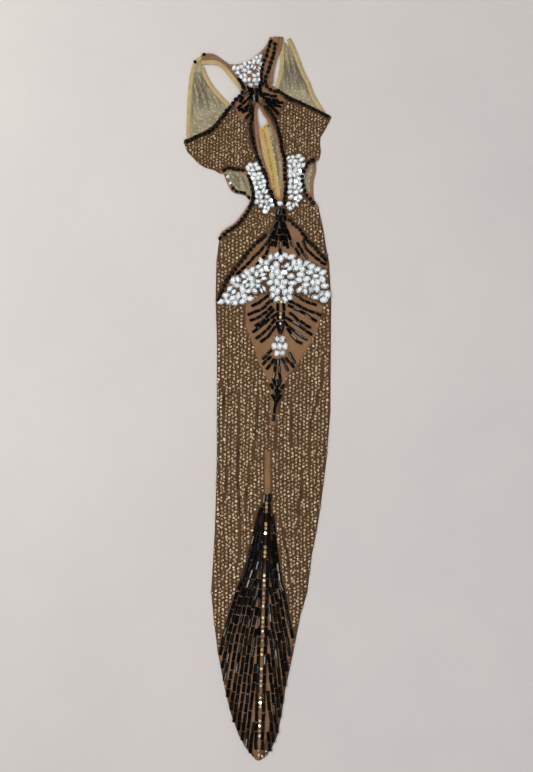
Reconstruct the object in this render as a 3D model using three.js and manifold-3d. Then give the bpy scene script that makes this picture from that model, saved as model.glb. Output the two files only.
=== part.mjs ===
// A crystal-beaded stage gown that lies flat on its back, in millimetres.
// +Y runs from the point of the hem to the straps and +Z up from the surface that it lies on.
// Left and right are as seen from above, with the straps at the top.

import * as THREE from 'three';
import { mergeVertices } from 'three/addons/utils/BufferGeometryUtils.js';
import Module from 'manifold-3d';

const wasm = await Module();
wasm.setup();

// ---- Driving sizes ---------------------------------------------------------------------------

const SEAM_GAP = 0.3; // between pieces that are sewn together or lie on each other
const WALL = 2.2; // stretch mesh with the crystals sewn on it
const FRONT_BED = WALL + SEAM_GAP; // underside of the front, above the back
const SIDE_ROLL = 6; // the front turns down to the surface over this width at its sides
const BACK_INSET = SIDE_ROLL + SEAM_GAP;
const CUT_HEIGHT = 40; // of the solids that cut an opening
const HOLLOW_FOOT = -1; // the solids that hollow a crease's underside start below the surface
const CURVE_STEPS = 26;
const MERGE_DISTANCE = 1e-4;
const SHORT_EDGE = 0.05; // shorter edges are closed up after the cuts
const NEEDLE_HEIGHT = 0.02; // and flatter triangles are turned
const NEEDLE_ROUNDS = 4;

const ELASTIC_WIDTH = 10; // yellow elastic on the back's edges
const BINDING_WIDTH = 7; // tan binding on the front's edges

const ZIP_CHANNEL = 4.5; // half the gap that the zip lies over
const TAPE_HALF_WIDTH = 12;
const TAPE_THICKNESS = 0.7;
const COIL_HALF_WIDTH = 2.6;
const COIL_TOP = 4.4;
const ZIP_RISE = COIL_TOP + 2 * SEAM_GAP - FRONT_BED; // of the front, where it crosses the zip
const ZIP_COVER_FLAT = 13;
const ZIP_COVER_FOOT = 27;

const STONE_SIZE = { length: 15.5, width: 11.5, height: 3.2, sides: 6, taper: 0.6 };
const STONE_TURNS = [-20, 60].map(THREE.MathUtils.degToRad);
const SMALL_STONE_SIZE = { length: 12.5, width: 9.5, height: 2.8, sides: 6, taper: 0.6 };
const STONE_SINK = 0.6; // how far a stone's foot lies in the wall
const RAY = { width: 3.6, crest: 1.2, height: 1.7 };
const BEAD_LINE = { width: 6.6, crest: 3, height: 2.8 };

// ---- Cut of the front ------------------------------------------------------------------------

// The cloth across the gown, before the armholes, neck, keyhole and waist are cut.
const FRONT_SECTIONS = [
  { y: 831.5, left: -169, right: 169 },
  { y: 645, left: -169, right: 169 },
  { y: 613, left: -169, right: 152 },
  { y: 600, left: -169, right: 144 },
  { y: 588, left: -169, right: 143 },
  { y: 567, left: -161, right: 145 },
  { y: 555, left: -149, right: 143 },
  { y: 541, left: -136, right: 137 },
  { y: 532, left: -122, right: 136 },
  { y: 525, left: -99, right: 136 },
  { y: 516, left: -84, right: 136 },
  { y: 438, left: -84, right: 140 },
  { y: 383, left: -84, right: 152 },
  { y: 355, left: -89, right: 156 },
  { y: 314, left: -94, right: 164 },
  { y: 227, left: -96, right: 169 },
  { y: 135, left: -93, right: 168 },
  { y: -31, left: -93, right: 167 },
  { y: -142, left: -93, right: 158 },
  { y: -252, left: -96, right: 144 },
  { y: -307, left: -98, right: 135 },
  { y: -362, left: -101, right: 124 },
  { y: -445, left: -106, right: 114 },
  { y: -500, left: -101, right: 98 },
  { y: -583, left: -91, right: 82 },
  { y: -666, left: -75, right: 64 },
  { y: -721, left: -62, right: 56 },
  { y: -776, left: -42, right: 45 },
  { y: -804, left: -26, right: 32 },
  { y: -823, left: -11, right: 18 },
  { y: -831.5, left: -2, right: 6 },
];

// Creases pressed into the skirt: each is a soft ridge along a line.
const CREASES = [
  { from: [-2, -12], to: [-9, -132], width: 15, height: 2.6 },
  { from: [-48, -40], to: [-44, -205], width: 14, height: 2 },
  { from: [-38, -255], to: [-47, -380], width: 15, height: 1.8 },
  { from: [150, 100], to: [136, -6], width: 14, height: 2.6 },
  { from: [126, -40], to: [118, -170], width: 15, height: 2.2 },
  { from: [79, -20], to: [77, -100], width: 16, height: 1.4 },
];

// Edge curves, each a smooth line through the points that it needs.
const KEYHOLE = [
  [0, 673], [14, 650], [24, 636], [35, 615], [45, 584], [53, 551], [58, 512], [57, 484], [50, 456],
  [34, 479], [26, 512], [10, 556], [3, 595], [0, 630],
];
const STRAP_TOP = [[-128, 792], [-102, 792], [-84, 781], [-67, 769]];
const NECKLINE = [[-66, 768], [-48, 767], [-29, 772], [-10, 781], [6, 795], [20, 811], [29, 831]];
const LEFT_STRAP_EDGE = [[-128, 766], [-107, 768], [-86, 762], [-66, 740], [-49, 719], [-37, 704]];
const LEFT_BUST_EDGE = [[-38, 700], [-54, 683], [-82, 651], [-104, 627], [-130, 611],
  [-162, 596], [-175, 592]];
const RIGHT_STRAP_EDGE = [[58, 830], [55, 804], [46, 785], [40, 765], [36, 744], [35, 723]];
const RIGHT_BUST_EDGE = [[42, 714], [60, 703], [88, 688], [116, 675], [145, 661], [176, 645]];
const LEFT_WAIST_EDGE = [[-84, 516], [-72, 520], [-59, 523], [-42, 521], [-30, 516], [-24, 507],
  [-19, 489], [-16, 466], [-19, 450], [-27, 436], [-40, 418], [-54, 402], [-70, 392], [-82, 383],
  [-87, 376]];
const RIGHT_WAIST_EDGE = [[138, 547], [132, 543], [121, 535], [113, 521], [108, 505], [110, 489],
  [116, 475], [124, 463], [133, 450], [139, 442]];

// ---- Cut of the back -------------------------------------------------------------------------

const BACK_LEFT_ARM = [[-122, 791], [-141, 781], [-150, 765], [-157, 733], [-161, 687], [-163, 641],
  [-163, 602], [-159, 584]];
const BACK_LEFT_NECK = [[-122, 762], [-113, 738], [-96, 712], [-77, 691], [-63, 677], [-29, 648],
  [-4, 628], [7, 622]];
const BACK_LEFT_WAIST = [[-77, 514], [-73, 503], [-66, 487], [-58, 475], [-46, 470], [-33, 468],
  [-21, 459], [-15, 446], [-21, 431], [-36, 413], [-50, 399], [-66, 388], [-78, 377]];
const BACK_RIGHT_ARM = [[76, 829], [88, 804], [100, 772], [109, 749], [120, 728], [128, 705],
  [139, 684], [155, 659], [161, 645]];
const BACK_RIGHT_NECK = [[50, 829], [52, 800], [51, 765], [46, 736], [40, 716], [31, 675], [24, 645],
  [16, 624]];
const BACK_RIGHT_WAIST = [[134, 544], [134, 521], [130, 507], [128, 489], [128, 470], [131, 452],
  [133, 438]];
const BACK_TIP = [3, -820];
const BACK_HEM_START = -804;

// The centre-back line: the zip from the top to ZIP_END, and a plain seam below it.
const CENTRE_BACK = [[11.5, 623], [29, 544], [41, 463], [42, 365], [38, 227], [24, -118], [10, -463],
  BACK_TIP];
const ZIP_END = 227;

// Gathers that fan down from the straps on the inside of the back.
const GATHERS = [
  { side: 'left', from: [-135, 740], to: [-114, 655] },
  { side: 'left', from: [-141, 726], to: [-137, 662] },
  { side: 'right', from: [67, 800], to: [73, 716] },
  { side: 'right', from: [76, 796], to: [91, 712] },
  { side: 'right', from: [84, 772], to: [104, 706] },
];
const GATHER = { width: 6, crest: 1.5, height: 1.4 };

// ---- Large crystals and bugle beads ----------------------------------------------------------

// Rows of large crystals: each row is a curve with evenly spaced stones.
const HIP_ROWS = [
  { points: [[29, 324], [54, 328], [79, 325]], count: 4 },
  { points: [[-56, 271], [-13, 296], [22, 312], [54, 308], [98, 312], [150, 290]], count: 14 },
  { points: [[-82, 233], [-29, 268], [10, 290], [54, 293], [102, 297], [151, 274]], count: 15 },
  { points: [[-85, 219], [-40, 252], [-3, 267], [24, 276], [54, 279], [86, 281], [121, 270],
    [158, 256]], count: 16 },
  { points: [[-66, 220], [-40, 236], [-8, 250], [20, 260], [54, 265], [88, 266], [121, 253],
    [160, 238]], count: 15 },
  { points: [[-45, 218], [-22, 231], [10, 246], [33, 250], [54, 250], [82, 251], [109, 244],
    [146, 226]], count: 13 },
  { points: [[34, 235], [54, 230], [74, 235]], count: 4 },
];
const CHEST_ROWS = [
  { points: [[-8, 773], [6, 783]], count: 2 },
  { points: [[-46, 758], [3, 761]], count: 5 },
  { points: [[-40, 747], [5, 747]], count: 4 },
  { points: [[-34, 735], [-2, 735]], count: 3 },
  { points: [[-19, 722], [-4, 722]], count: 2 },
];
const KEYHOLE_BANDS = [
  { top: { y: 528, left: -17, right: 0 }, bottom: { y: 438, left: 18, right: 32 }, rows: 8 },
  { top: { y: 549, left: 76, right: 94 }, bottom: { y: 441, left: 70, right: 88 }, rows: 9 },
];
const FLOWER = { centre: [49, 123], radius: 14.5, petals: 6 };

// Lines of bugle beads: each fan runs from the roots to the tips, in even steps.
const FANS = [
  { roots: [[70, 235], [60, 163]], tips: [[137, 214], [104, 128]], count: 7 },
  { roots: [[45, 235], [48, 163]], tips: [[-17, 212], [1, 128]], count: 7 },
  { roots: [[36, 104], [42, 84]], tips: [[6, 86], [26, 48]], count: 4 },
  { roots: [[62, 104], [54, 84]], tips: [[88, 92], [60, 48]], count: 4 },
  { roots: [[44, 402], [64, 402]], tips: [[34, 336], [76, 336]], count: 5 },
  { roots: [[72, 394], [86, 384]], tips: [[108, 322], [146, 312]], count: 3 },
  { roots: [[22, 352], [10, 350]], tips: [[-40, 284], [-60, 262]], count: 2 },
  { roots: [[-22, 690], [-18, 640]], tips: [[-52, 662], [-44, 630]], count: 5 },
  { roots: [[20, 702], [30, 664]], tips: [[60, 690], [58, 640]], count: 5 },
];
const STALK = [[42, 42], [41, 8], [39, -20], [35, -52]];

// Lines of large round beads: down the hips from the waist, and down the right strap.
const HIP_LINES = [
  [[20, 372], [-6, 351], [-31, 321], [-52, 294], [-71, 266], [-88, 228]],
  [[84, 396], [107, 373], [134, 343], [156, 316]],
];
const STRAP_LINES = [
  [[31, 815], [25, 797], [17, 774], [12, 747], [5, 724]],
  [[42, 815], [36, 785], [28, 759], [22, 736], [26, 716], [44, 704]],
];

// The tail fan: lines that leave the centre one below the other and bend out to the hem.
const TAIL = {
  rays: 10,
  start: [10, -243],
  end: [3, -700],
  leftTips: [[-84, -592], [-77, -650], [-60, -716], [-42, -755], [-12, -812]],
  rightTips: [[71, -592], [64, -650], [52, -716], [42, -755], [14, -812]],
  bend: 0.5,
  bendTurn: 0.12,
};

// ---- Finish ----------------------------------------------------------------------------------

const COLOURS = {
  beadedMesh: 0x6e563e,
  meshInside: 0x968b70,
  yellowElastic: 0xc8b06a,
  tanElastic: 0xa9744a,
  zipTape: 0xcdae58,
  brass: 0xb89650,
};

function finish(colour, roughness, metalness = 0) {
  return new THREE.MeshStandardMaterial({ color: colour, roughness, metalness });
}

// ---- Solids ----------------------------------------------------------------------------------

const solidOf = (geometry) => {
  const bare = geometry.clone();
  bare.deleteAttribute('normal');
  bare.deleteAttribute('uv');
  const merged = mergeVertices(bare, MERGE_DISTANCE);
  return new wasm.Manifold(new wasm.Mesh({
    numProp: 3,
    vertProperties: new Float32Array(merged.attributes.position.array),
    triVerts: new Uint32Array(merged.index.array),
  }));
};

/** Closes up the very short edges that cuts leave, and drops the triangles that this flattens. */
function withoutShortEdges(points, triangles) {
  const joined = points.map((_, i) => i);
  const find = (i) => (joined[i] === i ? i : find(joined[i]));
  triangles.forEach((corners) => corners.forEach((corner, k) => {
    const [from, to] = [find(corner), find(corners[(k + 1) % 3])];
    if (from !== to && points[from].distanceTo(points[to]) < SHORT_EDGE) joined[from] = to;
  }));
  return triangles.map((corners) => corners.map(find))
    .filter(([a, b, c]) => a !== b && b !== c && c !== a);
}

/** The height of a triangle over its longest edge. */
function heightOf(points, corners) {
  const [a, b, c] = corners.map((corner) => points[corner]);
  const doubleArea = b.clone().sub(a).cross(c.clone().sub(a)).length();
  return doubleArea / Math.max(a.distanceTo(b), b.distanceTo(c), c.distanceTo(a));
}

/** Turns the longest edge of each triangle whose corners are nearly in line, where that helps. */
function turnNeedles(points, triangles) {
  const key = (a, b) => a * points.length + b;
  const owners = new Map();
  const claim = (corners) => corners.forEach((a, k) => owners.set(key(a, corners[(k + 1) % 3]), corners));
  const lengthAt = (corners, k) => points[corners[k]].distanceTo(points[corners[(k + 1) % 3]]);
  triangles.forEach(claim);
  triangles.forEach((corners) => {
    const height = heightOf(points, corners);
    if (height > NEEDLE_HEIGHT) return;
    const longest = [0, 1, 2].reduce((a, b) => (lengthAt(corners, b) > lengthAt(corners, a) ? b : a));
    const [a, b, c] = [0, 1, 2].map((k) => corners[(longest + k) % 3]);
    const twin = owners.get(key(b, a));
    const d = twin.find((corner) => corner !== a && corner !== b);
    const turned = [[a, d, c], [d, b, c]];
    const helps = turned.every((pair) => heightOf(points, pair) > height);
    if (!helps || owners.has(key(c, d)) || owners.has(key(d, c))) return;
    owners.delete(key(a, b));
    owners.delete(key(b, a));
    corners.splice(0, 3, ...turned[0]);
    twin.splice(0, 3, ...turned[1]);
    [corners, twin].forEach(claim);
  });
}

const geometryOf = (solid) => {
  const mesh = solid.getMesh();
  const points = Array.from({ length: mesh.vertProperties.length / 3 },
    (_, i) => new THREE.Vector3().fromArray(mesh.vertProperties, 3 * i));
  const all = Array.from({ length: mesh.triVerts.length / 3 },
    (_, i) => [...mesh.triVerts.slice(3 * i, 3 * i + 3)]);
  const triangles = withoutShortEdges(points, all);
  for (let round = 0; round < NEEDLE_ROUNDS; round += 1) turnNeedles(points, triangles);
  const used = [...new Set(triangles.flat())];
  const places = new Map(used.map((corner, i) => [corner, i]));
  const geometry = new THREE.BufferGeometry();
  geometry.setAttribute('position', new THREE.Float32BufferAttribute(
    used.flatMap((corner) => points[corner].toArray()),
    3,
  ));
  geometry.setIndex(triangles.flat().map((corner) => places.get(corner)));
  geometry.computeVertexNormals();
  return geometry;
};

const vector = ([x, y]) => new THREE.Vector2(x, y);
const smoothLine = (points, steps = CURVE_STEPS) => new THREE.SplineCurve(points.map(vector))
  .getSpacedPoints(steps);

/** A smooth closed line through the points. */
const smoothLoop = (points, steps) => {
  const curve = new THREE.CatmullRomCurve3(points.map(([x, y]) => new THREE.Vector3(x, y, 0)), true);
  return curve.getSpacedPoints(steps).slice(0, steps).map((p) => new THREE.Vector2(p.x, p.y));
};

/** The points moved sideways: to the left of their direction for a positive distance. */
function offsetLine(line, distance, closed = false) {
  const at = (i) => line[closed ? (i + line.length) % line.length
    : Math.min(Math.max(i, 0), line.length - 1)];
  return line.map((point, i) => {
    const along = at(i + 1).clone().sub(at(i - 1)).normalize();
    return new THREE.Vector2(point.x - along.y * distance, point.y + along.x * distance);
  });
}

/** An upright solid with this outline. */
function prism(outline, low, high) {
  const shape = new THREE.Shape(outline);
  const geometry = new THREE.ExtrudeGeometry(shape, { depth: high - low, bevelEnabled: false });
  geometry.translate(0, 0, low);
  return solidOf(geometry);
}

const cutter = (outline) => prism(outline, -CUT_HEIGHT / 2, CUT_HEIGHT / 2);

/**
 * A strip along a line. The section is a list of [across, height] corners, anticlockwise when
 * looking along the line, or a function that gives that list for a place from 0 to 1 along it.
 * Heights are measured from floor(x, y).
 */
function strip(line, section, floor, closed = false) {
  const sectionAlong = typeof section === 'function' ? section : () => section;
  const corners = sectionAlong(0).length;
  const positions = [];
  const sides = sectionAlong(0).map(([across]) => offsetLine(line, -across, closed));
  line.forEach((_, i) => sectionAlong(i / (line.length - 1)).forEach(([, height], k) => {
    const point = sides[k][i];
    positions.push(point.x, point.y, floor(point.x, point.y) + height);
  }));
  const index = [];
  const stations = line.length;
  for (let i = 0; i < (closed ? stations : stations - 1); i += 1) {
    for (let k = 0; k < corners; k += 1) {
      const next = (k + 1) % corners;
      const here = i * corners;
      const there = ((i + 1) % stations) * corners;
      index.push(here + k, there + next, here + next, here + k, there + k, there + next);
    }
  }
  if (!closed) {
    const end = (stations - 1) * corners;
    for (let k = 1; k < corners - 1; k += 1) {
      index.push(0, k, k + 1, end, end + k + 1, end + k);
    }
  }
  const geometry = new THREE.BufferGeometry();
  geometry.setAttribute('position', new THREE.Float32BufferAttribute(positions, 3));
  geometry.setIndex(index);
  return geometry;
}

const box = (left, right, low, high) => [[left, low], [right, low], [right, high], [left, high]];
const ridge = ({ width, crest, height }) => [
  [-width / 2, -STONE_SINK], [width / 2, -STONE_SINK], [crest / 2, height], [-crest / 2, height],
];
const level = (height) => () => height;

// ---- Form of the front -----------------------------------------------------------------------

/** The value of one column of the sections table at a height y. */
function sectionAt(y, column) {
  const upper = FRONT_SECTIONS.findLastIndex((row) => row.y >= y);
  const a = FRONT_SECTIONS[Math.max(upper, 0)];
  const b = FRONT_SECTIONS[Math.min(upper + 1, FRONT_SECTIONS.length - 1)];
  if (a === b) return a[column];
  return THREE.MathUtils.mapLinear(y, a.y, b.y, a[column], b[column]);
}

/** How far a point lies from a line, and how far along the line, from 0 to 1. */
function fromLine(x, y, line) {
  const point = new THREE.Vector2(x, y);
  let best = { distance: Infinity, along: 0 };
  for (let i = 0; i < line.length - 1; i += 1) {
    const run = line[i + 1].clone().sub(line[i]);
    const t = THREE.MathUtils.clamp(point.clone().sub(line[i]).dot(run) / run.lengthSq(), 0, 1);
    const distance = line[i].clone().addScaledVector(run, t).distanceTo(point);
    if (distance < best.distance) best = { distance, along: (i + t) / (line.length - 1) };
  }
  return best;
}

const centreBack = smoothLine(CENTRE_BACK, 60);
const zipLine = centreBack.filter((point) => point.y > ZIP_END);

// Bands of cloth that stand up along a line: [across, height] pairs from the crest to the foot.
const RISES = [
  { line: zipLine, profile: [[ZIP_COVER_FLAT, ZIP_RISE], [ZIP_COVER_FOOT, 0]], swell: () => 1 },
  ...CREASES.map(({ from, to, width, height }) => ({
    line: smoothLine([from, to], 8),
    profile: [[0, height], [0.45 * width, 0.7 * height], [width, 0]],
    swell: (along) => Math.sin(Math.PI * along),
  })),
];

/** The rise of the front's cloth above its bed at a point. */
function riseAt(x, y) {
  return RISES.reduce((highest, { line, profile, swell }) => {
    const { distance, along } = fromLine(x, y, line);
    const outer = profile.findIndex(([across]) => across >= distance);
    if (outer < 0) return highest;
    const [far, low] = profile[outer];
    const [near, high] = profile[Math.max(outer - 1, 0)];
    const height = far === near ? low : THREE.MathUtils.mapLinear(distance, near, far, high, low);
    return Math.max(highest, height * swell(along));
  }, 0);
}

/** How far the front's side has turned down at a point: 0 at the edge and 1 inside the roll. */
function turnAt(x, y) {
  const inset = Math.min(x - sectionAt(y, 'left'), sectionAt(y, 'right') - x);
  return Math.sin(THREE.MathUtils.clamp(inset / SIDE_ROLL, 0, 1) * Math.PI / 2);
}

const frontFloor = (x, y) => (FRONT_BED + riseAt(x, y)) * turnAt(x, y);
const frontTop = (x, y) => frontFloor(x, y) + WALL;

/** A solid band that raises the cloth's top, or hollows its underside, along a line. */
function riseBand({ line, profile, swell }, base, foot) {
  const half = profile.filter(([across]) => across > 0);
  const crest = profile.filter(([across]) => across === 0);
  const heights = [...half.toReversed(), ...crest, ...half.map(([across, height]) => [-across, height])];
  const [width] = profile[profile.length - 1];
  const section = (along) => [[-width, foot - base], [width, foot - base],
    ...heights.map(([across, height]) => [across, height * swell(along)])];
  return solidOf(strip(line, section, level(base)));
}

/** The cloth of the front before its openings are cut, with its sides turned down. */
function frontCloth() {
  const positions = [];
  const columns = [0, 0.5, 1]; // of the roll at each side
  FRONT_SECTIONS.forEach(({ y, left, right }) => {
    const roll = Math.min(SIDE_ROLL, (right - left) / 4);
    const across = [...columns.map((c) => left + c * roll),
      ...columns.toReversed().map((c) => right - c * roll)];
    across.forEach((x) => {
      const floor = FRONT_BED * turnAt(x, y);
      positions.push(x, y, floor, x, y, floor + WALL);
    });
  });
  const width = 2 * columns.length;
  const under = (r, c) => 2 * (r * width + c);
  const over = (r, c) => under(r, c) + 1;
  const index = [];
  const quad = (a, b, c, d) => index.push(a, b, c, a, c, d);
  const end = FRONT_SECTIONS.length - 1;
  for (let r = 0; r < end; r += 1) {
    for (let c = 0; c < width - 1; c += 1) {
      quad(over(r, c), over(r + 1, c), over(r + 1, c + 1), over(r, c + 1));
      quad(under(r, c), under(r, c + 1), under(r + 1, c + 1), under(r + 1, c));
    }
    quad(under(r, 0), under(r + 1, 0), over(r + 1, 0), over(r, 0));
    quad(over(r, width - 1), over(r + 1, width - 1), under(r + 1, width - 1), under(r, width - 1));
  }
  for (let c = 0; c < width - 1; c += 1) {
    quad(under(0, c), over(0, c), over(0, c + 1), under(0, c + 1));
    quad(over(end, c), under(end, c), under(end, c + 1), over(end, c + 1));
  }
  const geometry = new THREE.BufferGeometry();
  geometry.setAttribute('position', new THREE.Float32BufferAttribute(positions, 3));
  geometry.setIndex(index);
  const top = FRONT_BED + WALL;
  return RISES.reduce((cloth, rise) => cloth.add(riseBand(rise, top, top - STONE_SINK))
    .subtract(riseBand(rise, FRONT_BED, HOLLOW_FOOT)), solidOf(geometry));
}

// ---- Openings --------------------------------------------------------------------------------

const strapTop = smoothLine(STRAP_TOP, 8);
const neckline = smoothLine(NECKLINE, 16);
const leftStrapEdge = smoothLine(LEFT_STRAP_EDGE, 12);
const rightStrapEdge = smoothLine(RIGHT_STRAP_EDGE, 12);
const leftBustEdge = smoothLine(LEFT_BUST_EDGE, 16);
const rightBustEdge = smoothLine(RIGHT_BUST_EDGE, 12);
const leftWaistEdge = smoothLine(LEFT_WAIST_EDGE);
const rightWaistEdge = smoothLine(RIGHT_WAIST_EDGE, 18);
const keyhole = smoothLoop(KEYHOLE, 36);

const OUTSIDE = 900; // past every edge of the gown
const BOUND = BINDING_WIDTH + SEAM_GAP;
const STRAP_BOUND = ELASTIC_WIDTH + SEAM_GAP;
const SHOULDER_SEAM = strapTop[0].x;

const corner = (x, y) => new THREE.Vector2(x, y);
const last = (line) => line[line.length - 1];

/** The front's openings, each wider than its edge curve by the binding that is sewn into it. */
function frontOpenings() {
  const neck = [corner(-OUTSIDE, strapTop[0].y), ...strapTop, ...offsetLine(neckline, -BOUND),
    corner(last(neckline).x, OUTSIDE), corner(-OUTSIDE, OUTSIDE)];
  const leftArm = [...offsetLine(leftStrapEdge, STRAP_BOUND), ...leftBustEdge,
    corner(-OUTSIDE, last(leftBustEdge).y), corner(-OUTSIDE, OUTSIDE), corner(SHOULDER_SEAM, OUTSIDE)];
  const rightArm = [corner(rightStrapEdge[0].x, OUTSIDE), ...offsetLine(rightStrapEdge, -BOUND),
    ...rightBustEdge, corner(OUTSIDE, last(rightBustEdge).y), corner(OUTSIDE, OUTSIDE)];
  const leftWaist = [...offsetLine(leftWaistEdge, BOUND), corner(-OUTSIDE, last(leftWaistEdge).y),
    corner(-OUTSIDE, leftWaistEdge[0].y)];
  const rightWaist = [...offsetLine(rightWaistEdge, -BOUND), corner(OUTSIDE, last(rightWaistEdge).y),
    corner(OUTSIDE, rightWaistEdge[0].y)];
  return [neck, leftArm, rightArm, leftWaist, rightWaist, offsetLine(keyhole, BOUND, true)];
}

// ---- Relief of the front ---------------------------------------------------------------------

/** A low crystal with a flat table, standing in the cloth at a place and turned about it. */
function stone({ length, width, height, sides, taper }, { x, y }, turn) {
  const geometry = new THREE.CylinderGeometry(taper / 2, 0.5, height + STONE_SINK, sides);
  geometry.rotateX(Math.PI / 2);
  geometry.scale(length, width, 1);
  geometry.rotateZ(turn);
  geometry.translate(x, y, frontTop(x, y) + (height - STONE_SINK) / 2);
  return solidOf(geometry);
}

/** Stones spaced evenly along a curve, with every other one turned. */
function stoneRow({ points, count }, size) {
  return smoothLine(points, count - 1).map((place, i) => stone(size, place, STONE_TURNS[i % 2]));
}

function keyholeBand({ top, bottom, rows }) {
  return Array.from({ length: rows }, (_, i) => {
    const t = i / (rows - 1);
    const [y, left, right] = ['y', 'left', 'right'].map((key) => THREE.MathUtils.lerp(top[key],
      bottom[key], t));
    return stoneRow({ points: [[left, y], [right, y]], count: 2 }, STONE_SIZE);
  }).flat();
}

function flowerStones({ centre: [x, y], radius, petals }) {
  const ring = Array.from({ length: petals }, (_, i) => {
    const turn = (i * 2 * Math.PI) / petals;
    return stone(SMALL_STONE_SIZE, corner(x + radius * Math.cos(turn), y + radius * Math.sin(turn)), turn);
  });
  return [stone(SMALL_STONE_SIZE, corner(x, y), 0), ...ring];
}

const raised = (line, size, closed) => solidOf(strip(line, ridge(size), frontTop, closed));
const between = (a, b, t) => vector(a).lerp(vector(b), t);

function fanRays({ roots, tips, count }) {
  return Array.from({ length: count }, (_, i) => {
    const t = i / (count - 1);
    return raised([between(...roots, t), between(...tips, t)], RAY);
  });
}

/** The tail's rays: each leaves the centre line steeply and bends out to the hem. */
function tailRays() {
  const { rays, start, end, leftTips, rightTips, bend, bendTurn } = TAIL;
  return [leftTips, rightTips].flatMap((tips) => smoothLine(tips, rays - 1).map((tip, i) => {
    const root = between(start, end, i / rays);
    const knee = root.clone().lerp(tip, bend);
    knee.x = THREE.MathUtils.lerp(knee.x, root.x, bendTurn);
    return solidOf(strip([root, knee, tip], ridge(RAY), level(FRONT_BED + WALL)));
  }));
}

/** Lines of large round beads along the front's edges and across its hips. */
function beadLines() {
  const inside = BOUND + BEAD_LINE.width / 2;
  const loop = offsetLine(keyhole, inside, true);
  const edges = [
    offsetLine(leftBustEdge.slice(0, -1), BEAD_LINE.width / 2 + 1),
    offsetLine(rightBustEdge.slice(0, -1), -BEAD_LINE.width / 2 - 1),
    offsetLine(leftWaistEdge.slice(2, -2), inside),
    offsetLine(rightWaistEdge.slice(2, -2), -inside),
    ...HIP_LINES.map((points) => smoothLine(points, 8)),
    ...STRAP_LINES.map((points) => smoothLine(points, 6)),
  ];
  return [raised(loop.filter((_, i) => i % 2 === 0), BEAD_LINE, true),
    ...edges.map((line) => raised(line, BEAD_LINE))];
}

function frontRelief() {
  return [
    ...HIP_ROWS.flatMap((row) => stoneRow(row, STONE_SIZE)),
    ...CHEST_ROWS.flatMap((row) => stoneRow(row, SMALL_STONE_SIZE)),
    ...KEYHOLE_BANDS.flatMap(keyholeBand),
    ...flowerStones(FLOWER),
    ...FANS.flatMap(fanRays),
    ...tailRays(),
    raised(smoothLine(STALK, 4), BEAD_LINE),
    ...beadLines(),
  ];
}

// ---- Back ------------------------------------------------------------------------------------

const backEdges = {
  left: {
    arm: smoothLine(BACK_LEFT_ARM, 20),
    neck: smoothLine(BACK_LEFT_NECK, 16),
    waist: smoothLine(BACK_LEFT_WAIST, 24),
    armInside: 1,
    neckInside: -1,
  },
  right: {
    arm: smoothLine(BACK_RIGHT_ARM, 16),
    neck: smoothLine(BACK_RIGHT_NECK, 18),
    waist: smoothLine(BACK_RIGHT_WAIST, 12),
    armInside: -1,
    neckInside: 1,
  },
};

/** The outline of a strip between a line and the same line moved sideways. */
const stripOutline = (line, from, to) => [...offsetLine(line, from), ...offsetLine(line, to).reverse()];

/** One half of the back, with its edges cut back for the bindings that are sewn to it. */
function backPanel(side) {
  const { arm, neck, waist, armInside, neckInside } = backEdges[side];
  const inward = side === 'left' ? 1 : -1;
  const sideEdge = (low, high) => FRONT_SECTIONS.filter(({ y }) => y < high && y > low)
    .map((row) => corner(row[side] + inward * BACK_INSET, row.y));
  const zipEdge = offsetLine(zipLine, -inward * ZIP_CHANNEL);
  const seamEdge = offsetLine(centreBack.filter(({ y }) => y <= ZIP_END), -inward * SEAM_GAP / 2);
  const outline = [
    ...arm, ...sideEdge(waist[0].y, last(arm).y), ...waist,
    ...sideEdge(BACK_HEM_START - 1, last(waist).y), ...seamEdge.toReversed(),
    ...zipEdge.toReversed(), ...neck.toReversed(),
  ];
  const trims = [
    stripOutline(arm, -armInside, armInside * STRAP_BOUND),
    stripOutline(neck, -neckInside, neckInside * STRAP_BOUND),
    stripOutline(waist, -armInside, armInside * BOUND),
  ];
  const gathers = GATHERS.filter((gather) => gather.side === side)
    .map(({ from, to }) => solidOf(strip([from, to].map(vector), ridge(GATHER), level(WALL))));
  const cut = trims.reduce((panel, trim) => panel.subtract(cutter(trim)), prism(outline, 0, WALL));
  return geometryOf(gathers.reduce((panel, gather) => panel.add(gather), cut));
}

// ---- Bindings and zip ------------------------------------------------------------------------

/** A flat binding beside an edge: inside is 1 where the cloth lies to the left of the line. */
function binding(line, width, inside, floor, closed = false) {
  const section = inside > 0 ? box(-width, 0, 0, WALL) : box(0, width, 0, WALL);
  return strip(line, section, floor, closed);
}

const mirrored = (section) => section.map(([across, height]) => [-across, height]).reverse();
const TAPE_SECTION = [
  [SEAM_GAP / 2, FRONT_BED], [TAPE_HALF_WIDTH, FRONT_BED],
  [TAPE_HALF_WIDTH, FRONT_BED + TAPE_THICKNESS], [COIL_HALF_WIDTH, FRONT_BED + TAPE_THICKNESS],
  [COIL_HALF_WIDTH, COIL_TOP], [SEAM_GAP / 2, COIL_TOP],
];

// Slider and pull tab, in a frame of their own: the zip runs towards -Y from the origin.
const SLIDER = { halfWidth: 3.6, mouth: 3.3, foot: -6, plate: 0.7, postHalfWidth: 1.1 };
const HINGE = { y: -7.6, z: 1.15, pin: 0.35, hole: 0.6, eye: 0.95, sides: 12 };
const LUG = { inner: 2.3, outer: 3, back: -5, front: -8.6, low: 0.5 };
const TAB = { neckHalfWidth: 2, gripHalfWidth: 3, gripStart: -14, end: -30, thickness: 0.8 };

function block([x0, x1], [y0, y1], [z0, z1]) {
  const geometry = new THREE.BoxGeometry(x1 - x0, y1 - y0, z1 - z0);
  geometry.translate((x0 + x1) / 2, (y0 + y1) / 2, (z0 + z1) / 2);
  return solidOf(geometry);
}

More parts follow.
